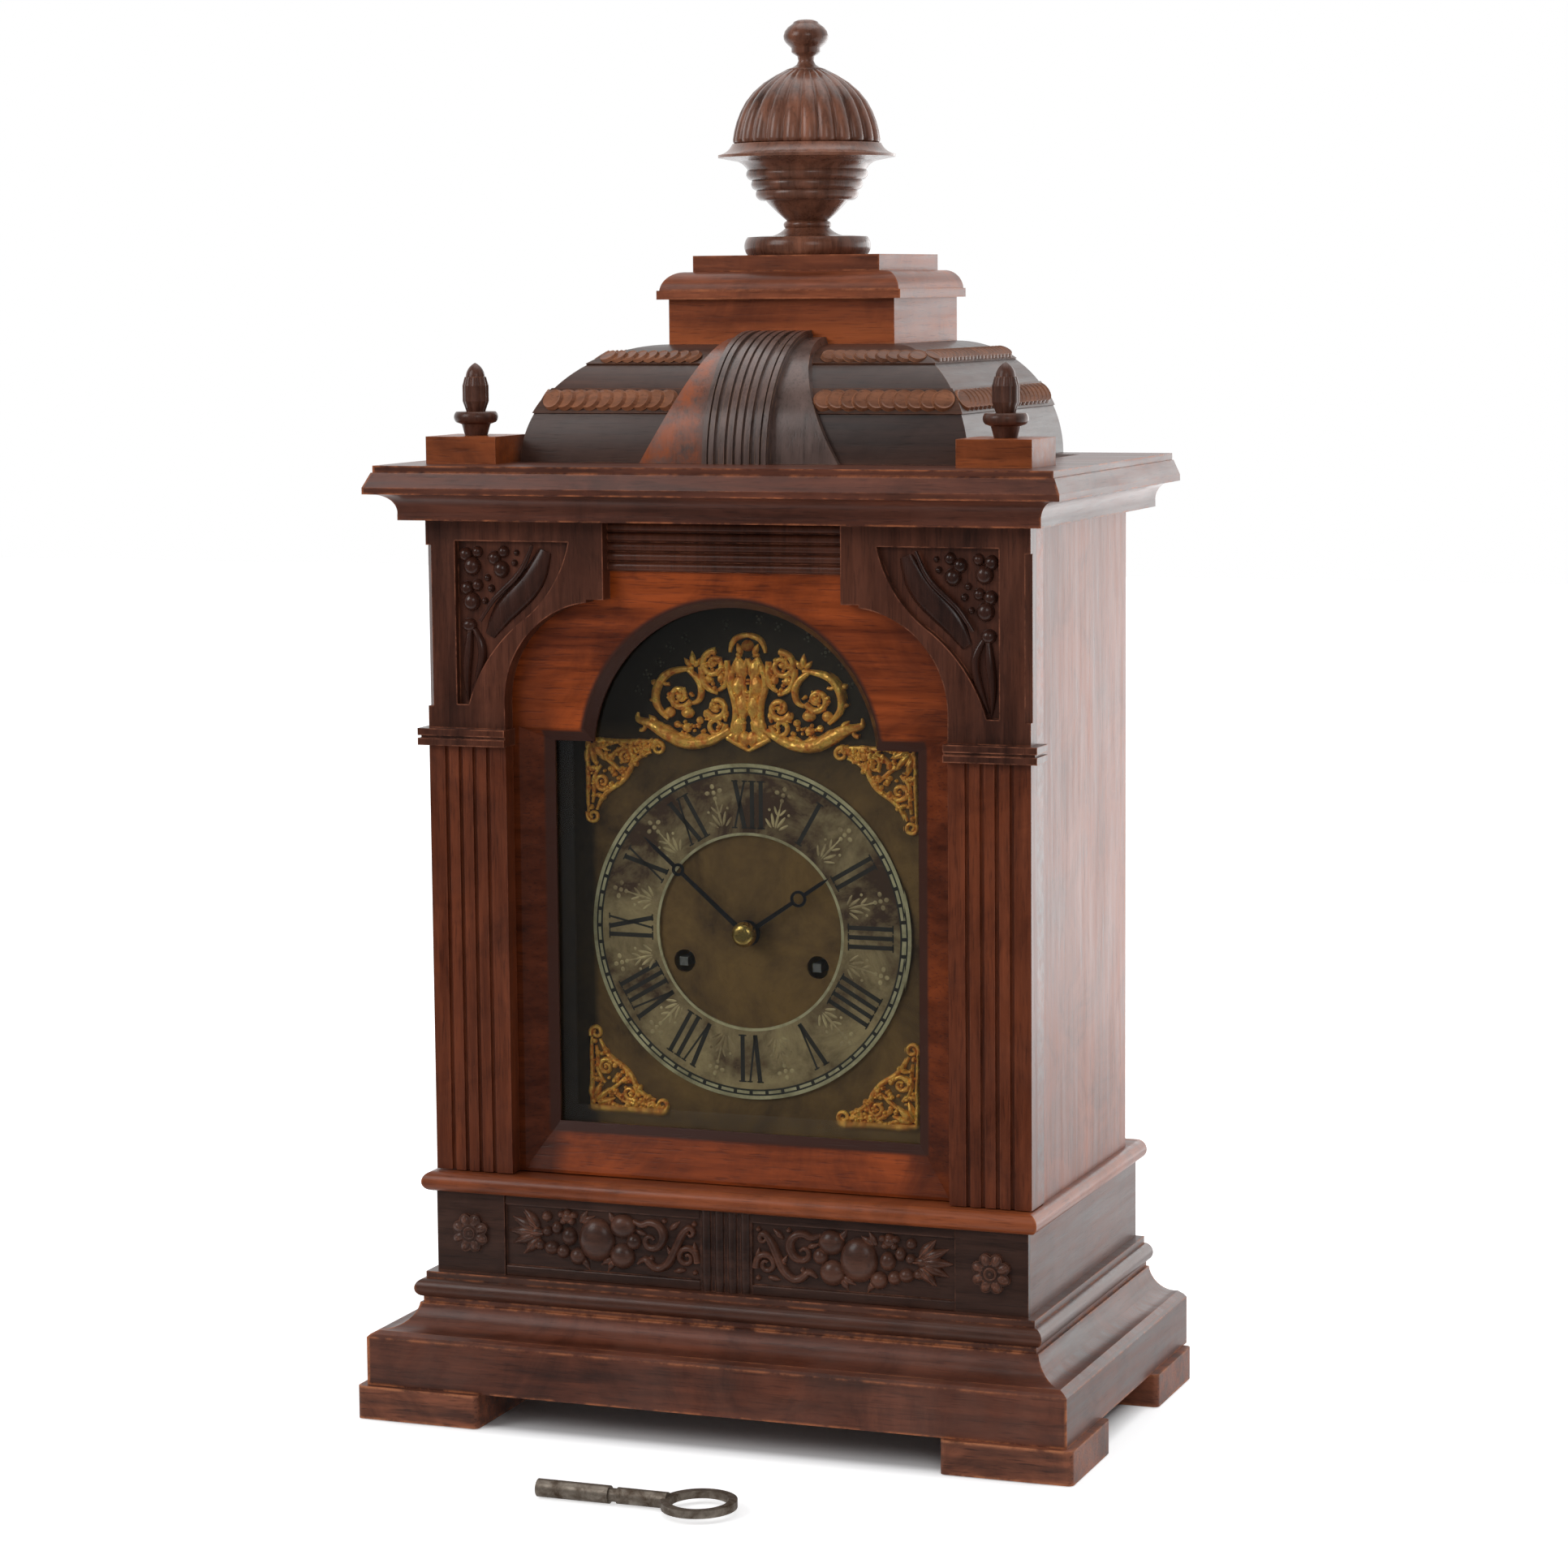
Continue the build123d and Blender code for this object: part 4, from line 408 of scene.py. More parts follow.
def strand(bm, points, face, rise=1.0, closed=False, rounds=2):
    """A tapered strand laid on an upright face along (x, z, half width) points."""
    line = bpy.data.curves.new("strand", "CURVE")
    line.dimensions = "3D"
    line.bevel_depth = mm
    line.bevel_resolution = rounds
    line.resolution_u = 6
    line.use_fill_caps = True
    path = line.splines.new("NURBS")
    path.points.add(len(points) - 1)
    for bend, (x, z, half) in zip(path.points, points):
        bend.co = (x * mm, 0, z * mm, 1)
        bend.radius = half
    path.order_u = 3
    path.use_endpoint_u = not closed
    path.use_cyclic_u = closed
    holder = bpy.data.objects.new("strand", line)
    mesh = bpy.data.meshes.new_from_object(holder)
    mesh.transform(Matrix.Translation((0, face, 0)) @ Matrix.Diagonal((1, rise, 1, 1)))
    bm.from_mesh(mesh)
    bpy.data.objects.remove(holder)
    bpy.data.curves.remove(line)
    bpy.data.meshes.remove(mesh)


def scroll(x, z, start, turns, wide, tight, thick, thin, steps=10):
    """Points of a volute that winds in to (x, z) from a start angle, in degrees."""
    points = []
    for step in range(int(abs(turns) * steps) + 1):
        share = step / (abs(turns) * steps)
        angle = math.radians(start + 360.0 * turns * share)
        reach = wide + (tight - wide) * share
        points.append(
            (x + reach * math.cos(angle), z + reach * math.sin(angle), thick + (thin - thick) * share)
        )
    return points


def board(bm, low, high, soften=0.0):
    """A sawn board between two corners in millimetres, with its arrises eased."""
    made = bmesh.ops.create_cube(bm, size=1.0)["verts"]
    bmesh.ops.scale(bm, vec=[(b - a) * mm for a, b in zip(low, high)], verts=made)
    bmesh.ops.translate(bm, vec=[(a + b) * 0.5 * mm for a, b in zip(low, high)], verts=made)
    if soften:
        edges = list({edge for vert in made for edge in vert.link_edges})
        bmesh.ops.bevel(
            bm, geom=edges, offset=soften * mm, segments=2, profile=0.5, affect="EDGES", material=-1,
        )


def mirrored_too(bm):
    """Adds the mirror image across the middle of the clock and turns all faces outwards."""
    bmesh.ops.mirror(bm, geom=bm.verts[:] + bm.edges[:] + bm.faces[:], axis="X", merge_dist=0.0)
    bmesh.ops.recalc_face_normals(bm, faces=bm.faces[:])


def new_piece(name, bm, material, body, smooth=True):
    """A finished piece: its mesh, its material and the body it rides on."""
    mesh = bpy.data.meshes.new(name)
    bm.to_mesh(mesh)
    bm.free()
    for face in mesh.polygons:
        face.use_smooth = smooth
    mesh.materials.append(material)
    piece = bpy.data.objects.new(name, mesh)
    bpy.context.scene.collection.objects.link(piece)
    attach(piece, body)
    return piece


panel_ground = -0.01915
bm = bmesh.new()
board(bm, (12, -19.15, 62.6), (104, -18.15, 98.5))
board(bm, (12, -20.55, 94.1), (104, -18.15, 98.5), 0.5)
board(bm, (12, -20.55, 62.6), (104, -18.15, 67), 0.5)
mirrored_too(bm)
panel_boards = new_piece("panel_boards", bm, carved_wood, "case", smooth=False)
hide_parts("fruit_panels")

bm = bmesh.new()
for turn, tall, out, up_by in (
    (90, 15, 95.5, 82.5), (66, 14, 94.5, 86), (112, 14, 94.5, 79.5), (42, 11, 91.5, 88.5),
    (136, 11, 91.5, 76.5), (90, 9, 90, 82.5),
):
    lump(bm, out, up_by, 5.2, tall, 2.6, panel_ground, turn=turn, point=0.75)
    over = 4.5 * math.sin(math.radians(turn))
    lift_by = 4.5 * math.cos(math.radians(turn))
    strand(
        bm, [(out - over, up_by - lift_by, 0.35), (out + over, up_by + lift_by, 0.2)], panel_ground - 0.0025,
        rounds=1,
    )
for x, z, wide, tall, rise in (
    (84.2, 90, 4.4, 4.6, 2), (79.4, 85.2, 4.6, 6, 2.2), (84, 83.4, 4.4, 4.4, 2.1), (87.5, 77, 4.4, 4.4, 1.9),
    (82, 76.2, 6.4, 6, 2.4), (76.6, 74.8, 5.6, 6, 2.3), (73.6, 81.8, 6.6, 8, 2.6),
    (69.6, 73.2, 7.2, 7.6, 2.6), (74.4, 90.2, 5.2, 5, 2), (71.4, 91.4, 3.4, 3.2, 1.9),
    (77.2, 91.4, 3.4, 3.2, 1.9), (74.4, 92.6, 3.4, 2.8, 1.9), (72.4, 88.4, 3.2, 3, 1.8),
    (76.4, 88.4, 3.2, 3, 1.8), (60.6, 81.2, 15.6, 18.6, 3.6), (48.2, 88, 11, 10.6, 2.9),
    (48.6, 74.8, 10.6, 11, 2.9), (43.2, 81.6, 6.2, 7, 2.4),
):
    lump(bm, x, z, wide * 1.1, tall * 1.05, rise * 1.4, panel_ground)
for x, z, turn in (
    (53.5, 91.5, 30), (66.8, 91, -30), (54, 70.4, 150), (66, 70.2, 210), (64.5, 90, -60), (56, 72, 120),
):
    lump(bm, x, z, 3.2, 7, 1.5, panel_ground, turn=turn, point=0.8)
for ribbon in (
    [
        (43.5, 91, 0.6), (39.5, 88.6, 1.5), (36, 91, 1.3), (31, 90, 1.6), (28.5, 85, 1.7), (31.5, 79.6, 1.5),
        (36.5, 79, 1.2), (38.5, 82.6, 1), (35.6, 85.2, 0.8), (33.8, 83.2, 0.6),
    ],
    [
        (41.5, 72, 0.6), (38, 75.5, 1.4), (35, 71.4, 1.5), (31, 70.2, 1.4), (26.6, 73.4, 1.7),
        (23.6, 80, 1.6), (20.6, 86.8, 1.5), (17, 90.4, 1.2), (14.8, 87.6, 1), (17, 85.4, 0.8),
        (18.4, 87.4, 0.5),
    ],
    scroll(18.4, 76.4, 200, -1.4, 5.2, 1, 1.4, 0.7),
):
    strand(bm, [(x, z, half * 1.25) for x, z, half in ribbon], panel_ground, rise=1.5)
for x, z, wide, tall, turn in (
    (40, 86, 2.6, 6, 70), (24, 90, 2.8, 6.4, -50), (26.5, 78.5, 2.4, 6, 30), (14.6, 80.8, 2.4, 5.6, 10),
    (22, 70.4, 2.6, 6.2, 100), (35, 75, 2.6, 2.6, 0), (28.8, 92, 2.6, 2.6, 0), (14.8, 91.6, 2.6, 2.6, 0),
    (14.6, 70.2, 2.6, 2.6, 0),
):
    lump(bm, x, z, wide, tall, 1.7, panel_ground, turn=turn, point=0.6)
mirrored_too(bm)
fruit_wood = polished_walnut(
    "fruit_wood", (52, 31, 24), (112, 70, 52), grain="x", start=(0.6, 0, 0.1), rub=0.7, rub_width=0.8,
    bare=(150, 94, 70), shine=0.5,
)
new_piece("carved_fruit", bm, fruit_wood, "case")


# The rosettes: eight petals round a button, carved in the walnut of the two
# end blocks, each petal with a vein raised down its middle.
rosette_x, rosette_z = 120.25, 80.55
block_face = -0.02115
leaf = (5.4, 5, 7.4, 2.5, -0.15, (16, 10))
vein = (6.4, 2.2, 3.6, 2.9, 0, (10, 8))
bm = bmesh.new()
for petal in range(8):
    angle = math.radians(45.0 * petal + 22.5)
    turn = math.degrees(angle)
    for reach, wide, tall, rise, point, steps in (leaf, vein):
        x = rosette_x + reach * math.sin(angle)
        z = rosette_z + reach * math.cos(angle)
        lump(bm, x, z, wide, tall, rise, block_face, turn, point, *steps)
around = [math.radians(degrees) for degrees in range(0, 360, 45)]
collar = [(rosette_x + 2.6 * math.cos(a), rosette_z + 2.6 * math.sin(a), 0.55) for a in around]
strand(bm, collar, block_face - 0.0022, closed=True)
lump(bm, rosette_x, rosette_z, 3, 3, 3, block_face)
mirrored_too(bm)
new_piece("rosettes", bm, fruit_wood, "case")


# The carcase: two plain sides, a base board, a deck board and the plain pine
# rails that carry the works, with the grain upright on the sides.
polished_walnut(
    "side_wood", (112, 52, 30), (162, 86, 52), "side_panels", grain="z", start=(0.1, 0.3, 0.2), bands=0.6,
    pores=0.4, gloss=0.36, rub_width=1.2, haze=0.04, shine=0.45,
)
inner_wood = polished_walnut(
    "inner_wood", (92, 62, 40), (140, 100, 66), "inner_boards", grain="x", start=(0.5, 0.1, 0), gloss=0.6,
    rub=0.2, haze=0.25, shine=0.0, relief=0.5,
)


def shader_of(tree):
    """The shader of a finished material and the colour that feeds it."""
    surface = next(node for node in tree.nodes if node.type == "BSDF_PRINCIPLED")
    return surface, surface.inputs["Base Color"].links[0].from_socket


tree = inner_wood.node_tree
part = spot(tree)[1]
surface, tone = shader_of(tree)
outside = between(tree, part["Z"], 0.4170, 0.4176)
tree.links.new(blend(tree, outside, tone, colour(66, 38, 28)), surface.inputs["Base Color"])
polished_walnut(
    "seat_wood", (112, 80, 50), (160, 122, 80), "seat_board", grain="x", start=(0.7, 0.1, 0), gloss=0.62,
    rub=0.2, haze=0.2, shine=0.0, relief=0.5,
)


# The cornice: a cove and two fillets, mitred round three sides, dark stained,
# with its top edge rubbed through to orange wood.
polished_walnut(
    "cornice_wood", (54, 28, 20), (122, 66, 46), "cornice", start=(0.2, 0.5, 0.4), rub=0.95, rub_width=1.6,
    bare=(186, 108, 66), haze=0.05, shine=0.4,
)
polished_walnut(
    "corner_block_wood", (100, 46, 20), (172, 88, 40), "corner_blocks", grain="x", start=(0.4, 0.2, 0.6),
    gloss=0.32, rub=0.8, bare=(170, 100, 60), haze=0.03,
)
polished_walnut(
    "bud_wood", (46, 28, 22), (112, 70, 54), "corner_finials", grain="z", start=(0.9, 0.2, 0.6),
    rub_width=0.6, haze=0.05, shine=0.5,
)


# The dome: a bent shell stained near black under old polish, with two carved
# bands let in and a reeded strap over the middle of the front.
polished_walnut(
    "dome_wood", (38, 25, 22), (92, 62, 50), "dome", start=(0.6, 0.1, 0.3), bands=0.6, gloss=0.34, rub=0.3,
    haze=0.14, shine=0.5,
)
band_wood = polished_walnut(
    "band_wood", (84, 50, 34), (166, 108, 76), start=(0.1, 0.7, 0.3), gloss=0.36, rub=0.8, rub_width=0.6,
    bare=(170, 112, 76), haze=0.05, shine=0.25,
)
polished_walnut(
    "band_ground", (48, 28, 20), (98, 62, 44), "dome_bands", start=(0.4, 0.7, 0.3), gloss=0.36, rub=0.5,
    rub_width=0.6, haze=0.05, shine=0.25,
)

dome_middle_half = 52.5
dome_front_foot = 55.85
dome_turn_radius = 50.7
dome_foot_level = 418.0
dome_back = 141.35
bm = bmesh.new()


def coin(bm, middle, normal, forward, size):
    """One coin of the carved band, tipped so that it lies on its neighbour."""
    made = bmesh.ops.create_cone(bm, cap_ends=True, segments=20, radius1=0.5, radius2=0.42, depth=0.2)
    made = made["verts"]
    rim = [face for face in {face for vert in made for face in vert.link_faces} if len(face.verts) > 4]
    top = [face for face in rim if face.calc_center_median().z > 0]
    inner = bmesh.ops.inset_region(bm, faces=top, thickness=0.07, depth=-0.03)
    cut = [*rim, *inner["faces"]]
    made = list({vert for face in cut for vert in face.verts} | set(made))
    tip = Matrix.Translation((0, 0, 0.06)) @ Matrix.Rotation(math.radians(15), 4, "Y")
    turn = Matrix((forward, normal.cross(forward), normal)).transposed().to_4x4()
    place = Matrix.Translation([value * mm for value in middle]) @ turn
    scale = Matrix.Diagonal((size * mm, size * mm, size * mm * 0.9, 1))
    bmesh.ops.transform(bm, matrix=place @ scale @ tip, verts=made)


for angle, size, first in ((31.85, 10.6, 35), (62.05, 8.8, 28)):
    rise = math.radians(angle)
    outward = math.cos(rise) * dome_turn_radius
    level = dome_foot_level + math.sin(rise) * dome_turn_radius
    reach = dome_middle_half + outward
    pitch = size * 0.56
    for step in range(40):
        along_front = reach - size * 0.55 - step * pitch
        if along_front < first:
            break
        normal = Vector((0, -math.cos(rise), math.sin(rise)))
        coin(bm, (along_front, dome_front_foot - outward, level), normal, Vector((1, 0, 0)), size)
    for step in range(40):
        back_along = dome_front_foot - outward + size * 0.55 + step * pitch
        if back_along > dome_back - size * 0.5:
            break
        normal = Vector((math.cos(rise), 0, math.sin(rise)))
        coin(bm, (reach, back_along, level), normal, Vector((0, -1, 0)), size)
mirrored_too(bm)
new_piece("band_coins", bm, band_wood, "case", smooth=False)


# The reeded strap over the front of the dome: one carved board, its reeds
# polished by dusting and its left flank rubbed to orange in patches.
strap_wood = polished_walnut(
    "strap_wood", (46, 37, 34), (120, 96, 88), "dome_strap", grain="z", start=(0.2, 0.7, 0.9), gloss=0.24,
    rub=0.7, rub_width=0.8, bare=(130, 96, 74), haze=0.2, shine=0.8,
)
tree = strap_wood.node_tree
place, part = spot(tree)
surface, tone = shader_of(tree)
left_flank = between(tree, part["X"], -0.014, -0.020)
patch = between(tree, noise(tree, place, 75, 5, 0.7), 0.38, 0.62)
rubbed_patch = worked_out(tree, "MULTIPLY", left_flank, patch)
tree.links.new(blend(tree, rubbed_patch, tone, colour(160, 84, 48)), surface.inputs["Base Color"])


# The caddy top: a plain block, a moulded cap and a thin slab, in redder
# walnut than the dome, with rounded and rubbed arrises.
polished_walnut(
    "caddy_wood", (108, 46, 20), (190, 98, 48), "caddy_block", start=(0.3, 0.3, 0.8), bands=0.6, gloss=0.34,
    rub=0.7, rub_width=1.0, bare=(190, 112, 66), haze=0.03,
)
polished_walnut(
    "cap_wood", (92, 44, 24), (180, 98, 60), "caddy_cap", start=(0.8, 0.3, 0.2), gloss=0.32, rub=0.8,
    rub_width=1.5, bare=(190, 112, 70), haze=0.05, shine=0.4,
)


# The finial: an urn turned from one billet with a fluted lid and a knob, its
# grain upright, dark in the grooves and rubbed brown on the rims.
finial_wood = polished_walnut(
    "finial_wood", (56, 28, 18), (158, 100, 74), "finial_urn", grain="z", start=(0.3, 0.9, 0.2), gloss=0.22,
    rub=0.8, rub_width=1.0, bare=(150, 98, 72), haze=0.16, shine=0.9,
)


def rings(bm, levels, steps, ribs=0, groove=0.0):
    """A form built up ring by ring from (radius, height) pairs, with ribs cut round it."""
    ring = bmesh.ops.create_circle(bm, segments=steps, radius=1.0)["verts"]
    for vert in ring:
        around = math.atan2(vert.co.y, vert.co.x)
        vert.co *= 1.0 - groove * (1.0 - abs(math.sin(around * ribs * 0.5)) ** 0.6) if ribs else 1.0
    edges = list({edge for vert in ring for edge in vert.link_edges})
    radius, height = levels[0]
    bmesh.ops.scale(bm, vec=(radius * mm, radius * mm, 1), verts=ring)
    bmesh.ops.translate(bm, vec=(0, 0, height * mm), verts=ring)
    for wider, higher in levels[1:]:
        grown = bmesh.ops.extrude_edge_only(bm, edges=edges)["geom"]
        ring = [part for part in grown if isinstance(part, bmesh.types.BMVert)]
        edges = [part for part in grown if isinstance(part, bmesh.types.BMEdge)]
        bmesh.ops.scale(bm, vec=(wider / radius, wider / radius, 1), verts=ring)
        bmesh.ops.translate(bm, vec=(0, 0, (higher - height) * mm), verts=ring)
        radius, height = wider, higher
    bmesh.ops.holes_fill(bm, edges=bm.edges[:], sides=steps)


lid_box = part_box("finial_lid")
lid_foot = Vector(((lid_box[0].x + lid_box[1].x) * 0.5, (lid_box[0].y + lid_box[1].y) * 0.5, lid_box[0].z))
bm = bmesh.new()
rings(
    bm,
    (
        (31.6, 0), (32.6, 0.8), (32.6, 2), (32, 5.5), (30.9, 9.6), (29.2, 14), (26.8, 18.4), (23.4, 22.6),
        (18.8, 26.6), (13.6, 29.8), (8.4, 32.4),
    ),
    240, ribs=24, groove=0.085,
)
rings(
    bm,
    (
        (8.6, 31.4), (8.6, 32.4), (6, 33.2), (4.2, 34.4), (3.4, 36), (3.8, 38), (5.4, 39), (6.4, 39.8),
        (6.4, 41.6), (7.4, 42.6), (8.8, 43.8), (9.7, 45.4), (9.9, 46.9), (9.3, 48.9), (8, 50.6), (6.2, 51.9),
        (5.7, 52.3), (5.2, 53.1), (3.4, 53.8), (0.8, 54.05),
    ),
    48,
)
bmesh.ops.recalc_face_normals(bm, faces=bm.faces[:])
bmesh.ops.translate(bm, vec=lid_foot, verts=bm.verts[:])
ribbed_lid = new_piece("ribbed_lid", bm, finial_wood, "case")
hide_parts("finial_lid")


# The front door: a broad orange walnut frame round the arched window, with
# fluted pilasters, capitals, spandrels and a reeded tablet planted on it.
door_wood = polished_walnut(
    "door_wood", (76, 26, 6), (176, 78, 20), "door_frame", grain="x", start=(0.2, 0.2, 0.1), bands=0.55,
    pores=0.45, gloss=0.28, rub=0.35, bare=(150, 80, 40), haze=0.02, shade=0.6, shine=0.5,
)
arch_centre = 0.292
tree = door_wood.node_tree
part = spot(tree)[1]
surface, tone = shader_of(tree)
# Painted shade: below the arch both stiles of the frame are darkened, the left one more, standing in for the
# shade beside the pilasters.
left_stile = between(tree, part["X"], -0.078, -0.086, 0, 0.72)
right_stile = between(tree, part["X"], 0.078, 0.086, 0, 0.5)
below_arch = between(tree, part["Z"], 0.335, 0.290)
either_stile = worked_out(tree, "MAXIMUM", left_stile, right_stile)
stile_shade = worked_out(tree, "MULTIPLY", either_stile, below_arch)
darker = blend(tree, stile_shade, tone, colour(30, 9, 4))

# The strip of the frame next to the glass is stained dark brown. The mask is 1
# inside an arched outline, and fades over a millimetre or two.
aside = worked_out(tree, "ABSOLUTE", part["X"])
over_arch = worked_out(tree, "SUBTRACT", part["Z"], arch_centre)
across = add(tree, "CombineXYZ", {"X": aside, "Y": over_arch}).outputs[0]
reach = add(tree, "VectorMath", {0: across}, operation="LENGTH").outputs["Value"]
arch_edge = between(tree, reach, 0.0708, 0.0692)
arch_part = worked_out(tree, "MULTIPLY", arch_edge, between(tree, part["Z"], 0.2985, 0.2995))
side_edge = between(tree, aside, 0.0884, 0.0872)
low_edge = between(tree, part["Z"], 0.1250, 0.1262)
high_edge = between(tree, part["Z"], 0.3034, 0.3022)
tall_part = worked_out(tree, "MULTIPLY", low_edge, high_edge)
square_part = worked_out(tree, "MULTIPLY", side_edge, tall_part)
window_edge = worked_out(tree, "MAXIMUM", arch_part, square_part)
tree.links.new(blend(tree, window_edge, darker, colour(62, 34, 25)), surface.inputs["Base Color"])
polished_walnut(
    "pilaster_wood", (56, 22, 12), (130, 62, 30), "pilasters", grain="z", start=(0.2, 0.2, 0.1), rub=0.7,
    rub_width=0.6, bare=(136, 76, 50), haze=0.04, shine=0.4,
)
polished_walnut(
    "spandrel_wood", (44, 21, 14), (108, 58, 38), "spandrels", "reeded_tablet", "capitals", grain="z",
    start=(0.6, 0.2, 0.9), gloss=0.28, rub=1.0, rub_width=1.0, bare=(160, 96, 68), haze=0.03, shine=0.45,
)

recess_floor = -0.01545
outer_edge = 123.5
top_edge = 385.0
bm = bmesh.new()
for inward, down, wide, rise in (
    (4, 6, 6.2, 3.3), (9.6, 4.8, 5, 2.9), (7, 11, 8, 3.9), (17.6, 7.4, 6.2, 3.3), (22, 4.6, 5.2, 2.9),
    (20.8, 12.2, 7.4, 3.7), (4.4, 20.6, 6.2, 3.3), (9.4, 19.2, 5.2, 2.9), (6.6, 26.4, 8, 3.9),
    (14.2, 16, 3.2, 2.2), (15.8, 20.6, 3.4, 2.3), (12.8, 26, 3, 2.1), (27, 9.4, 3, 2.1), (28, 5, 2.6, 1.9),
):
    lump(bm, outer_edge - inward, top_edge - down, wide, wide * 1.04, rise, recess_floor)
slope = ((41.5, 4, 3), (38.5, 11.5, 5.2), (33.4, 19.2, 6), (26.4, 25.6, 6), (20, 32, 5.2), (14.8, 41, 2.5))
ridge = (
    (36.4, 1.6, 0.8), (33.6, 8.6, 1.1), (29.4, 14.8, 1.2), (22.6, 20.8, 1.2), (16.6, 26.2, 1.1),
    (11.4, 34.6, 0.8),
)
for rib, proud, rise, rounds in ((slope, 0, 0.42, 4), (ridge, 0.0026, 1, 3)):
    laid = [(outer_edge - u, top_edge - v, half) for u, v, half in rib]
    strand(bm, laid, recess_floor - proud, rise, rounds=rounds)
lump(bm, outer_edge - 5.2, top_edge - 36.6, 7, 6.2, 3.4, recess_floor)
for leaf in (
    ((5.6, 38, 1.2), (4.8, 46, 2.3), (3.6, 56, 2.1), (3.6, 64, 1.5), (4.2, 69.6, 0.5)),
    ((7.6, 38.4, 1.2), (11, 43.6, 2), (11.4, 51, 2.1), (8.8, 60, 1.7), (5.4, 68.6, 0.5)),
):
    strand(bm, [(outer_edge - u, top_edge - v, half) for u, v, half in leaf], recess_floor, 1.35, rounds=3)
mirrored_too(bm)
berry_wood = polished_walnut(
    "berry_wood", (34, 17, 12), (78, 42, 30), grain="z", start=(0.6, 0.5, 0.9), gloss=0.18, rub=0.5,
    rub_width=0.6, bare=(128, 78, 58), haze=0.03, shine=1.0,
)
new_piece("spandrel_carving", bm, berry_wood, "front_door")
polished_walnut(
    "back_door_wood", (70, 42, 28), (112, 72, 48), "back_door", grain="z", start=(0.4, 0.8, 0.1), gloss=0.5,
    rub=0.4, haze=0.15, shine=0.1, relief=0.5,
)


# The window: bevelled plate glass, held in a rebate at the back of the door.
# It is clear but for faint smears, with its ground bevel at the left and foot.
plate_glass, tree = new_material("plate_glass")
place, part = spot(tree)
film = between(tree, noise(tree, place, 14, 4, 0.6), 0.45, 0.75, 0, 0.05)
side_bevel = between(tree, part["X"], -0.0756, -0.0760, 0, 0.22)
low_bevel = between(tree, part["Z"], 0.1378, 0.1374, 0, 0.22)
ground_edge = worked_out(tree, "MAXIMUM", side_bevel, low_bevel)
surface = add(tree, "BsdfPrincipled", {"Roughness": worked_out(tree, "MAXIMUM", ground_edge, film)})
surface.inputs["Base Color"].default_value = (0.93, 0.95, 0.92, 1)
surface.inputs["IOR"].default_value = 1.45
surface.inputs["Transmission Weight"].default_value = 1.0
clear = add(tree, "BsdfTransparent", {"Color": (0.9, 0.92, 0.89, 1)})
shadow = add(tree, "LightPath").outputs["Is Shadow Ray"]
lets_lamps_in = either(tree, shadow, surface.outputs[0], clear.outputs[0])
add(tree, "OutputMaterial", {"Surface": lets_lamps_in})
finish_with(plate_glass, "door_glass")


# The metals: rolled and turned brass for the works, steel arbors, blued hands
# and silvered brass, each dulled in clouds and specks by age.
tarnish, takes, gives = new_group(
    "tarnish",
    [
        ("Place", "Vector", None), ("Bright", "Color", colour(190, 150, 80)),
        ("Dull", "Color", colour(90, 66, 34)), ("Spread", "Float", 0.5), ("Scale", "Float", 40),
        ("Gloss", "Float", 0.3),
    ],
    [("Colour", "Color"), ("Roughness", "Float"), ("Height", "Float")],
)
centre = worked_out(tarnish, "SUBTRACT", noise(tarnish, takes["Place"], takes["Scale"], 7, 0.68, 0.4), 0.5)
stretch = worked_out(tarnish, "MULTIPLY_ADD", centre, 3.4, takes["Spread"], clamp=True)
speck = between(tarnish, noise(tarnish, takes["Place"], 900, 3, 0.7), 0.6, 0.75, 0, 0.6)
dulled = worked_out(tarnish, "MAXIMUM", stretch, speck)
toned = blend(tarnish, dulled, takes["Bright"], takes["Dull"])
rough = worked_out(tarnish, "MULTIPLY_ADD", dulled, 0.28, takes["Gloss"])
tarnish.links.new(toned, gives["Colour"])
tarnish.links.new(rough, gives["Roughness"])
tarnish.links.new(dulled, gives["Height"])


def old_metal(name, bright, dull, *pieces, spread=0.4, scale=40.0, gloss=0.25, relief=0.15, metallic=1.0):
    """Metal with its bright and dulled tones, mottled at one scale, given to the pieces that it names."""
    metal, tree = new_material(name)
    place = add(tree, "TexCoord").outputs["Object"]
    feeds = {"Place": place, "Bright": colour(*bright), "Dull": colour(*dull)}
    feeds |= {"Spread": spread, "Scale": scale, "Gloss": gloss}
    aged = add(tree, "Group", feeds, node_tree=tarnish).outputs
    bump = add(tree, "Bump", {"Strength": relief, "Distance": 0.00008, "Height": aged["Height"]})
    surface = add(tree, "BsdfPrincipled", {"Base Color": aged["Colour"], "Roughness": aged["Roughness"]})
    surface.inputs["Metallic"].default_value = metallic
    tree.links.new(bump.outputs[0], surface.inputs["Normal"])
    add(tree, "OutputMaterial", {"Surface": surface.outputs[0]})
    finish_with(metal, *pieces)
    return metal


old_metal(
    "works_brass", (190, 156, 94), (150, 116, 64), "front_plate", "back_plate", "centre_wheel", "third_wheel",
    "escape_wheel", "minute_wheel", "hour_wheel", "time_barrel", "strike_barrel", "strike_wheel", "fly",
    "pillars", spread=0.35, scale=30.0, gloss=0.3,
)
old_metal(
    "bright_steel", (168, 168, 166), (96, 92, 88), "time_winding_arbor", "strike_winding_arbor", "hammers",
    "anchor", "back_cock", "pendulum_rod", "gong", "front_door_pins", "back_door_pins", spread=0.3,
    scale=70.0, gloss=0.3,
)
old_metal(
    "bob_brass", (214, 172, 96), (120, 88, 46), "pendulum_bob", "back_knob", spread=0.3, scale=45.0,
    gloss=0.2,
)


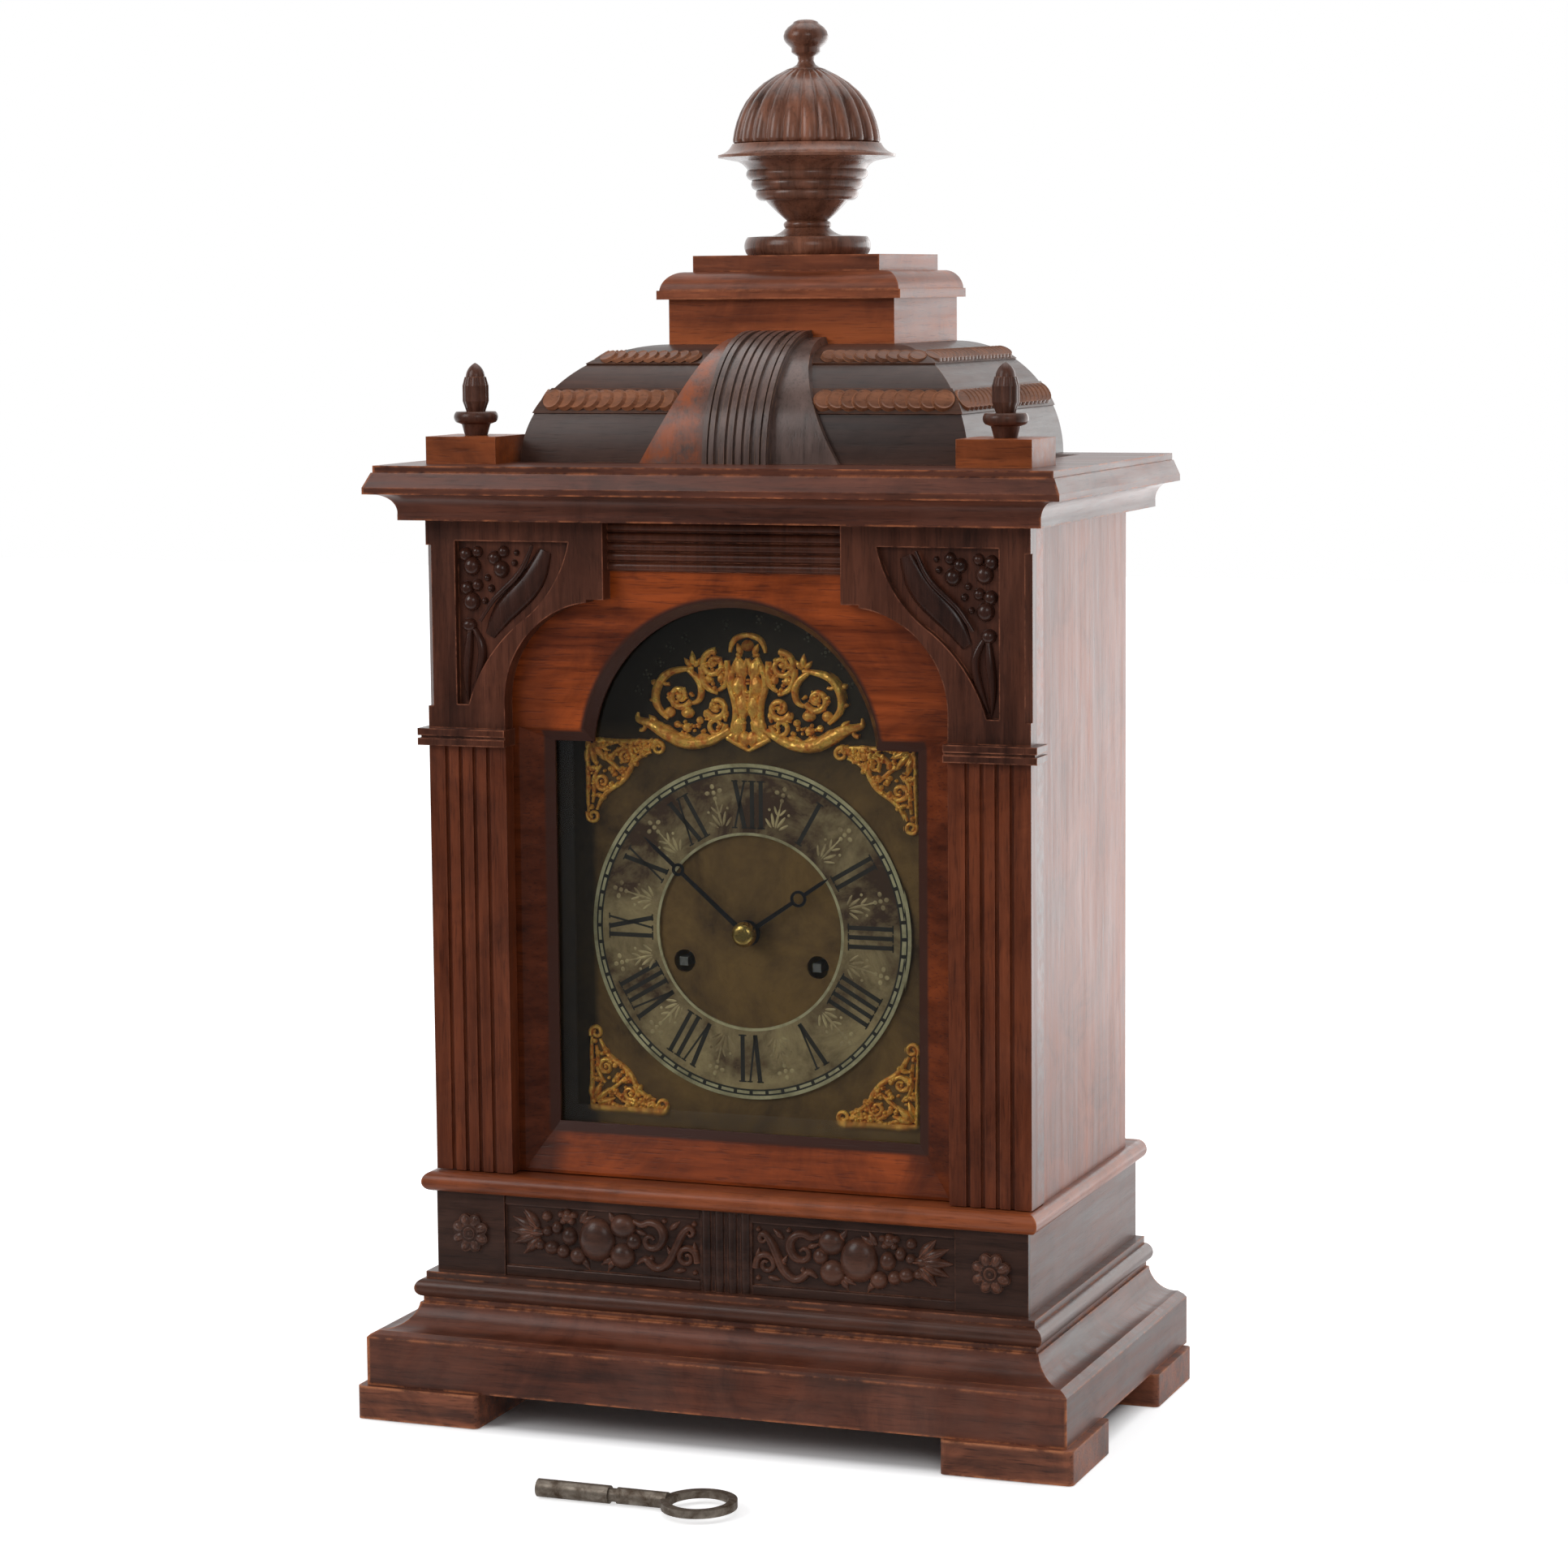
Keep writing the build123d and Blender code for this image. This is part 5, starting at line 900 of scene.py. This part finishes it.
# The dial plate: sheet brass, lacquered and gone olive brown, fixed by four
# feet to the works. It turns nearly black towards the top of the arch.
dial_centre = Vector((0, 0.01235, 0.2150))
plate_face = 0.01355
olive_brass = old_metal(
    "olive_brass", (134, 102, 58), (76, 54, 30), "dial_plate", spread=0.45, scale=26.0, gloss=0.42,
    metallic=0.5,
)
tree = olive_brass.node_tree
part = spot(tree)[1]
surface, tone = shader_of(tree)
darker = blend(tree, between(tree, part["Z"], 0.270, 0.306), tone, colour(46, 36, 24))
# Painted shadow: the plate is darkened to near black along its left edge, where the case keeps the light off
# it.
case_shadow_at_left = between(tree, part["X"], -0.0715, -0.0745, 0, 0.75)
tree.links.new(blend(tree, case_shadow_at_left, darker, colour(22, 19, 15)), surface.inputs["Base Color"])


# The chapter ring: a brass ring, silvered, with the silver worn to brown in
# patches; its numerals, minute track and leaf sprigs are cut in and filled.
ring_silver = old_metal(
    "ring_silver", (178, 156, 114), (76, 52, 36), "chapter_ring", spread=0.62, scale=36.0, gloss=0.42,
    metallic=0.4,
)
tree = ring_silver.node_tree
part = spot(tree)[1]
# Painted shade: the share of dull silver grows towards the top and the right of the ring, so the silver is
# darker there, as the light falls.
sideways = worked_out(tree, "MULTIPLY_ADD", part["X"], 1.2, 0)
shade_towards_top = worked_out(tree, "MULTIPLY_ADD", part["Z"], 3.8, -0.18)
spread = worked_out(tree, "ADD", sideways, shade_towards_top)
tree.links.new(spread, shader_of(tree)[1].node.inputs["Spread"])


def round_dial(degrees):
    """The turn that takes a mark from the top of the dial clockwise to its hour."""
    turned = Matrix.Rotation(math.radians(degrees), 4, "Y")
    return Matrix.Translation(dial_centre) @ turned @ Matrix.Translation(-dial_centre)


def stroke(bm, across_foot, foot, across_top, top, width, degrees):
    """One straight cut of a numeral, from its foot near the centre to its top, in millimetres."""
    start = Vector((across_foot, 0, foot))
    run = Vector((across_top, 0, top)) - start
    made = bmesh.ops.create_cube(bm, size=1.0)["verts"]
    middle = Matrix.Translation(dial_centre + (start + run * 0.5) * mm)
    place = round_dial(degrees) @ (middle @ Matrix.Rotation(math.atan2(run.x, run.z), 4, "Y"))
    size = Matrix.Diagonal((width * mm, 0.12 * mm, run.length * mm, 1))
    bmesh.ops.transform(bm, matrix=place @ size, verts=made)


def flat_ring(bm, inner, outer, proud):
    """A thin ring about the dial centre, between two radii in millimetres."""
    radii = (inner * mm, outer * mm)
    rims = [bmesh.ops.create_circle(bm, segments=144, radius=radius)["verts"] for radius in radii]
    edges = list({edge for rim in rims for vert in rim for edge in vert.link_edges})
    faces = bmesh.ops.bridge_loops(bm, edges=edges)["faces"]
    raised = bmesh.ops.extrude_face_region(bm, geom=faces)["geom"]
    lifted = [part for part in raised if isinstance(part, bmesh.types.BMVert)]
    bmesh.ops.translate(bm, vec=(0, 0, proud * mm), verts=lifted)
    verts = list({vert for rim in rims for vert in rim} | set(lifted))
    upright = Matrix.Translation(dial_centre) @ Matrix.Rotation(math.radians(90), 4, "X")
    bmesh.ops.transform(bm, matrix=upright, verts=verts)


foot, top = 45.2, 66.2
low, high = foot + 0.35, top - 0.35
letters = {
    "I": (4.1, ((0, foot, 0, top, 1.9), (-1.8, low, 1.8, low, 0.6), (-1.8, high, 1.8, high, 0.6))),
    "V": (7.6, (
        (0, foot, -2.3, top, 2), (0.1, foot, 2.5, top, 0.9), (-3.9, high, -0.8, high, 0.6),
        (1.3, high, 3.8, high, 0.6),
    )),
    "X": (7.4, (
        (2.3, foot, -2.3, top, 2), (-2.3, foot, 2.3, top, 0.9), (-3.6, low, -1.1, low, 0.6),
        (0.8, low, 3.8, low, 0.6),
        (-3.8, high, -0.8, high, 0.6), (1.1, high, 3.6, high, 0.6),
    )),
}
bm = bmesh.new()
for hour, numeral in enumerate(("XII", "I", "II", "III", "IIII", "V", "VI", "VII", "VIII", "IX", "X", "XI")):
    across = -sum(letters[letter][0] for letter in numeral) * 0.5
    for letter in numeral:
        wide, cuts = letters[letter]
        across += wide * 0.5
        for foot_across, foot_level, top_across, top_level, width in cuts:
            stroke(bm, across + foot_across, foot_level, across + top_across, top_level, width, 30.0 * hour)
        across += wide * 0.5
flat_ring(bm, 69.2, 72, 0.06)
ink = old_metal("black_wax", (20, 18, 15), (34, 27, 20), scale=90.0, gloss=0.5, metallic=0.0)
new_piece("numerals_and_track", bm, ink, "case", smooth=False)

bm = bmesh.new()
flat_ring(bm, 72, 73.6, 0.1)
flat_ring(bm, 42.3, 43.5, 0.08)
for minute in range(60):
    made = bmesh.ops.create_cube(bm, size=1.0)["verts"]
    place = round_dial(6.0 * minute + 3) @ Matrix.Translation(dial_centre + Vector((0, -0.04, 70.6)) * mm)
    bmesh.ops.transform(bm, matrix=place @ Matrix.Diagonal((5.8 * mm, 0.14 * mm, 1.25 * mm, 1)), verts=made)
bright_silver = old_metal(
    "bright_silver", (208, 198, 158), (128, 116, 86), spread=0.35, scale=60.0, gloss=0.3, metallic=0.4,
)
new_piece("silver_rims_and_dashes", bm, bright_silver, "case", smooth=False)

dial_level = 215.0
bm = bmesh.new()
for sprig in range(12):
    for across, up_by, wide, tall, turn in (
        (0, 52, 1.2, 9.6, 0), (-2, 50.6, 1.4, 6.4, -24), (2, 50.6, 1.4, 6.4, 24), (-3.6, 48.8, 1.2, 5, -48),
        (3.6, 48.8, 1.2, 5, 48), (-1.7, 55, 1.1, 4.2, -32), (1.7, 55, 1.1, 4.2, 32), (0, 58.4, 0.8, 4.6, 0),
        (0, 62.4, 2, 2, 0), (0, 65.2, 2, 2.2, 0), (0, 59.9, 1.9, 1.9, 0), (-3, 62.8, 2.3, 1.9, 0),
        (3, 62.8, 2.3, 1.9, 0), (-4.6, 54.6, 1.3, 1.3, 0), (4.6, 54.6, 1.3, 1.3, 0),
    ):
        lump(
            bm, across, dial_level + up_by, wide, tall, 0.16, dial_centre.y, turn=turn, across_steps=8,
            up_steps=6, carry=round_dial(30.0 * sprig + 15),
        )
sprig_silver = old_metal(
    "sprig_silver", (206, 186, 140), (126, 104, 74), spread=0.45, scale=70.0, gloss=0.36, metallic=0.3,
)
new_piece("ring_sprigs", bm, sprig_silver, "case")

bm = bmesh.new()
for degrees, reach in (
    (-62, 57.5), (-54, 58), (-46, 57), (-38, 58.5), (-30, 57.5), (-10, 57), (5, 58.5), (14, 57), (28, 58),
    (38, 57), (47, 58.5), (56, 57),
):
    turn = math.radians(degrees)
    for out_by, aside, size in ((0, 0, 1.5), (1.4, 1.1, 1), (1.4, -1.1, 1), (-1.4, 1, 0.9), (-1.4, -1, 0.9)):
        x = (reach + out_by) * math.sin(turn) + aside * math.cos(turn)
        z = arch_centre / mm + (reach + out_by) * math.cos(turn) - aside * math.sin(turn)
        lump(bm, x, z, size, size, 0.14, plate_face, across_steps=8, up_steps=6)
cut_silver = old_metal(
    "cut_silver", (96, 92, 76), (44, 40, 32), spread=0.5, scale=90.0, gloss=0.45, metallic=0.3,
)
new_piece("arch_engraving", bm, cut_silver, "case")


# The gilt ornament of the arch: one brass casting, a leafy vase between shells
# and scrolls, gilded by fire and pinned to the dial plate from behind.
def cut_flat(bm):
    """Cuts away what lies behind the face of the dial plate."""
    every = bm.verts[:] + bm.edges[:] + bm.faces[:]
    bmesh.ops.bisect_plane(
        bm, geom=every, plane_co=(0, plate_face + 0.0002, 0), plane_no=(0, 1, 0), clear_outer=True,
    )


gilt = old_metal(
    "old_gilt", (255, 202, 96), (204, 102, 34), spread=0.36, scale=300.0, gloss=0.26, relief=0.5,
    metallic=0.45,
)
tree = gilt.node_tree
hammered = noise(tree, add(tree, "TexCoord").outputs["Object"], 330, 1)
facet_bump = add(tree, "Bump", {"Strength": 1, "Distance": 0.0009, "Height": hammered})
fine_bump = shader_of(tree)[0].inputs["Normal"].links[0].from_node
tree.links.new(facet_bump.outputs[0], fine_bump.inputs["Normal"])
bm = bmesh.new()
for path_points in (
    [(0, 344.2, 1.1), (4.4, 343.6, 1.3), (7.6, 340.6, 1.2), (8.2, 336.6, 0.7)],
    scroll(15.8, 331.2, 100, -1.55, 6.2, 1, 1.4, 0.8),
    [(21.8, 330, 1.2), (21.4, 324.5, 1.4), (18.4, 320, 1.3), (14, 318.8, 0.9)],
    [(9.6, 333, 1.2), (9, 326, 1.4), (10.6, 321.6, 1.2), (13.6, 320, 0.8)],
    [
        (25.2, 329.2, 0.8), (33, 328.6, 1.5), (39.6, 325.6, 1.8), (43.4, 318.6, 1.9), (42.6, 311.2, 1.5),
        (37, 307, 1),
    ],
    [(28, 328.6, 1), (22.6, 325, 1.5), (21.2, 319, 1.5), (23.2, 314.2, 1.2), (26.6, 314, 0.7)],
    scroll(31.6, 316.9, 200, 1.35, 5.6, 1, 1.4, 0.9),
    scroll(14.6, 312.6, -20, -1.3, 5.4, 1.2, 1.4, 0.9),
    scroll(15, 304.6, 170, 1.2, 4.6, 1.2, 1.2, 0.8),
    [
        (51.4, 309.4, 0.5), (52.4, 306.4, 1.3), (48.6, 305.2, 1.6), (44.6, 304.4, 2.4), (38, 300.6, 3),
        (30.6, 296.8, 2.8), (23, 296.4, 2.4), (15, 298.8, 2), (8.4, 302.8, 1.4),
    ],
    [(48.6, 305.4, 0.6), (47.4, 301.6, 1.2), (50.6, 301.6, 0.9)],
    [(37, 299, 1), (33.2, 294.8, 1.5), (29.6, 295.6, 0.7)],
    [(40.6, 325, 0.7), (39.4, 321, 1), (36.4, 322.2, 0.7)],
    [(7.6, 302, 1.2), (5.4, 308, 1.5), (5.8, 315, 1.5), (8.4, 322, 1.5), (7.2, 329, 1.3), (4.4, 334.4, 1)],
    [(0, 334, 1), (2.6, 328, 1.2), (2, 321, 1.2), (0.6, 314, 1.2), (2.8, 307, 1.2), (4.6, 300.4, 0.8)],
    [(10, 299.6, 1), (6, 297.6, 1.6), (0, 294, 0.7)],
):
    strand(bm, [(x, z, half * 1.1) for x, z, half in path_points], plate_face, rise=1.5)
for x, z, wide, tall, rise, turn, point in (
    (0, 339.6, 5, 4.6, 2.8, 0, 0), (3.8, 338, 2.6, 5, 2, 24, 0.6), (25.6, 333.6, 2.6, 6, 1.8, 6, 0.7),
    (23.4, 331.8, 2.2, 4.6, 1.6, -36, 0.7), (28, 331.8, 2.2, 4.6, 1.6, 42, 0.7),
    (3.4, 330, 5.6, 9, 2.7, 16, 0.4), (4.2, 322.4, 5.6, 9, 2.9, -10, 0.4), (2.6, 313.6, 5.6, 10, 2.9, 6, 0.3),
    (4.6, 304.8, 6.4, 9, 2.7, -20, 0.4), (1.8, 298.8, 5, 7, 2.4, 180, 0.7),
    (5.4, 299.2, 3.4, 6, 2.2, 150, 0.6), (8, 300, 3, 5.4, 2, 128, 0.6), (15.8, 331.4, 2.6, 2.6, 2.4, 0, 0),
    (28, 309.8, 5.4, 4.4, 3, 0, 0), (36.4, 309.8, 4.4, 4.4, 2.6, 0, 0), (28.4, 303.4, 4, 3.6, 2.6, 0, 0),
    (22.4, 306.6, 3, 3, 2.2, 0, 0), (33, 304.6, 2.8, 2.8, 2, 0, 0), (19.4, 309.4, 2.8, 3.6, 2.2, 30, 0.4),
    (10.4, 309.4, 2.6, 3.6, 2.2, -30, 0.4), (37.6, 302.6, 3, 6.8, 2.6, 62, 0.6),
    (30, 299.6, 3.2, 7.4, 2.6, 76, 0.6), (21.6, 299.4, 3, 6.6, 2.4, 100, 0.6),
    (44.4, 306.6, 2.4, 5, 2.2, 50, 0.6), (31.6, 316.9, 2.8, 2.8, 2.4, 0, 0),
    (14.6, 312.6, 2.6, 2.6, 2.2, 0, 0), (12.4, 325.4, 2.8, 4.4, 2.4, -14, 0.3),
    (18, 324.8, 2.6, 4, 2.2, 20, 0.3), (43.8, 322.6, 2.4, 3, 1.8, 60, 0.4), (44.6, 315, 2, 3, 1.6, 90, 0.4),
):
    lump(bm, x, z, wide * 1.15, tall * 1.1, rise, plate_face, turn=turn, point=point)
chance = random.Random(11)
for x, z, reach_x, reach_z, count in (
    (15.8, 328, 6, 8.4, 44), (31.8, 315.4, 7, 6, 26), (14.8, 309, 5, 7, 24), (3.6, 320, 4.6, 16, 60),
    (27, 303, 9, 4, 24),
):
    for _ in range(count):
        angle = chance.uniform(0, 6.283)
        share = math.sqrt(chance.random())
        size = chance.uniform(1.1, 2)
        lump(
            bm, x + reach_x * share * math.cos(angle), z + reach_z * share * math.sin(angle), size, size,
            chance.uniform(1.4, 2.7), plate_face, across_steps=8, up_steps=6,
        )
mirrored_too(bm)
cut_flat(bm)
arch_scrollwork = new_piece("arch_scrollwork", bm, gilt, "case")
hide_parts("arch_ornament")


# The four corner ornaments: the same gilded castings, a shell in the corner
# and beaded scrolls along both edges, with the dial plate showing between.
bm = bmesh.new()
for path_points in (
    [(44, 296.6, 0.7), (50, 297, 1), (58, 296.2, 1.2), (66, 296.6, 1.2), (75.6, 296.4, 1.2)],
    [(75.6, 265, 0.7), (76, 271, 1), (75.4, 279, 1.2), (75.8, 288, 1.2), (75.6, 296.4, 1.2)],
    scroll(42.4, 294, 60, 1.3, 3.2, 0.9, 1.1, 0.7),
    scroll(73.4, 263.2, 30, -1.3, 3.2, 0.9, 1.1, 0.7),
    [
        (45.4, 292, 0.7), (50.4, 290.6, 1.1), (54.6, 286.6, 1.3), (57, 281, 1.2), (60.6, 277.6, 1.2),
        (65.6, 275, 1.3), (69.6, 270.8, 1.1), (71.6, 266, 0.7),
    ],
    scroll(57.6, 289.4, 240, -1.3, 4, 1, 1.2, 0.8),
    scroll(68.8, 278.4, 210, 1.3, 4, 1, 1.2, 0.8),
    [(48, 294.6, 0.7), (53, 293.4, 1), (60, 294.4, 1), (64.6, 290, 0.8)],
    [(73.6, 269, 0.7), (72.6, 274, 1), (73.4, 281, 1), (69.4, 285.6, 0.8)],
    [(60, 283, 0.8), (63.6, 286.4, 1.2), (67.4, 289, 1)],
):
    strand(bm, [(x, z, half * 0.95) for x, z, half in path_points], plate_face, rise=1.6)
shell_x, shell_z = 75.4, 296.0
for turn, tall, reach in ((225, 10, 7), (250, 9, 7), (200, 9, 7), (274, 8, 6.6), (176, 8, 6.6)):
    angle = math.radians(turn)
    lump(
        bm, shell_x + reach * math.sin(angle), shell_z + reach * math.cos(angle), 3, tall, 2.6, plate_face,
        turn=turn, point=0.4,
    )
corner_x, corner_z = 76, 297.0
leg = 34.0
ring_reach = 76.0
chance = random.Random(23)
for _ in range(150):
    along_leg = chance.uniform(0, leg)
    inward = chance.uniform(0, leg - along_leg)
    x = corner_x - along_leg
    z = corner_z - inward
    if math.hypot(x, z - dial_level) > ring_reach:
        size = chance.uniform(1.3, 2.6)
        lump(
            bm, x, z, size, size * chance.uniform(0.8, 1.3), chance.uniform(1.3, 3), plate_face,
            turn=chance.uniform(0, 180), across_steps=8, up_steps=6,
        )
lower = bmesh.ops.duplicate(bm, geom=bm.verts[:] + bm.edges[:] + bm.faces[:])["geom"]
lower = [part for part in lower if isinstance(part, bmesh.types.BMVert)]
bmesh.ops.scale(bm, vec=(1, 1, -1), space=Matrix.Translation(-dial_centre), verts=lower)
mirrored_too(bm)
cut_flat(bm)
corner_scrollwork = new_piece("corner_scrollwork", bm, gilt, "case")
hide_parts("corner_ornaments")


# The hands: cut from thin steel and blued by heat, each on its own pipe, and
# held on the arbor by a domed brass nut.
old_metal(
    "blued_steel", (34, 34, 42), (14, 14, 16), "hour_hand", "minute_hand", scale=60.0, gloss=0.3,
    metallic=0.6,
)
old_metal("nut_brass", (222, 190, 112), (140, 108, 52), "hand_nut", spread=0.3, scale=120.0, gloss=0.16)


# The winding key: an iron key with a squared pipe, a waist and a ring bow,
# browned by handling. It lies by itself on the floor.
old_metal(
    "key_iron", (150, 140, 128), (84, 68, 54), "winding_key", spread=0.5, scale=120.0, gloss=0.38, relief=0.6,
    metallic=0.75,
)
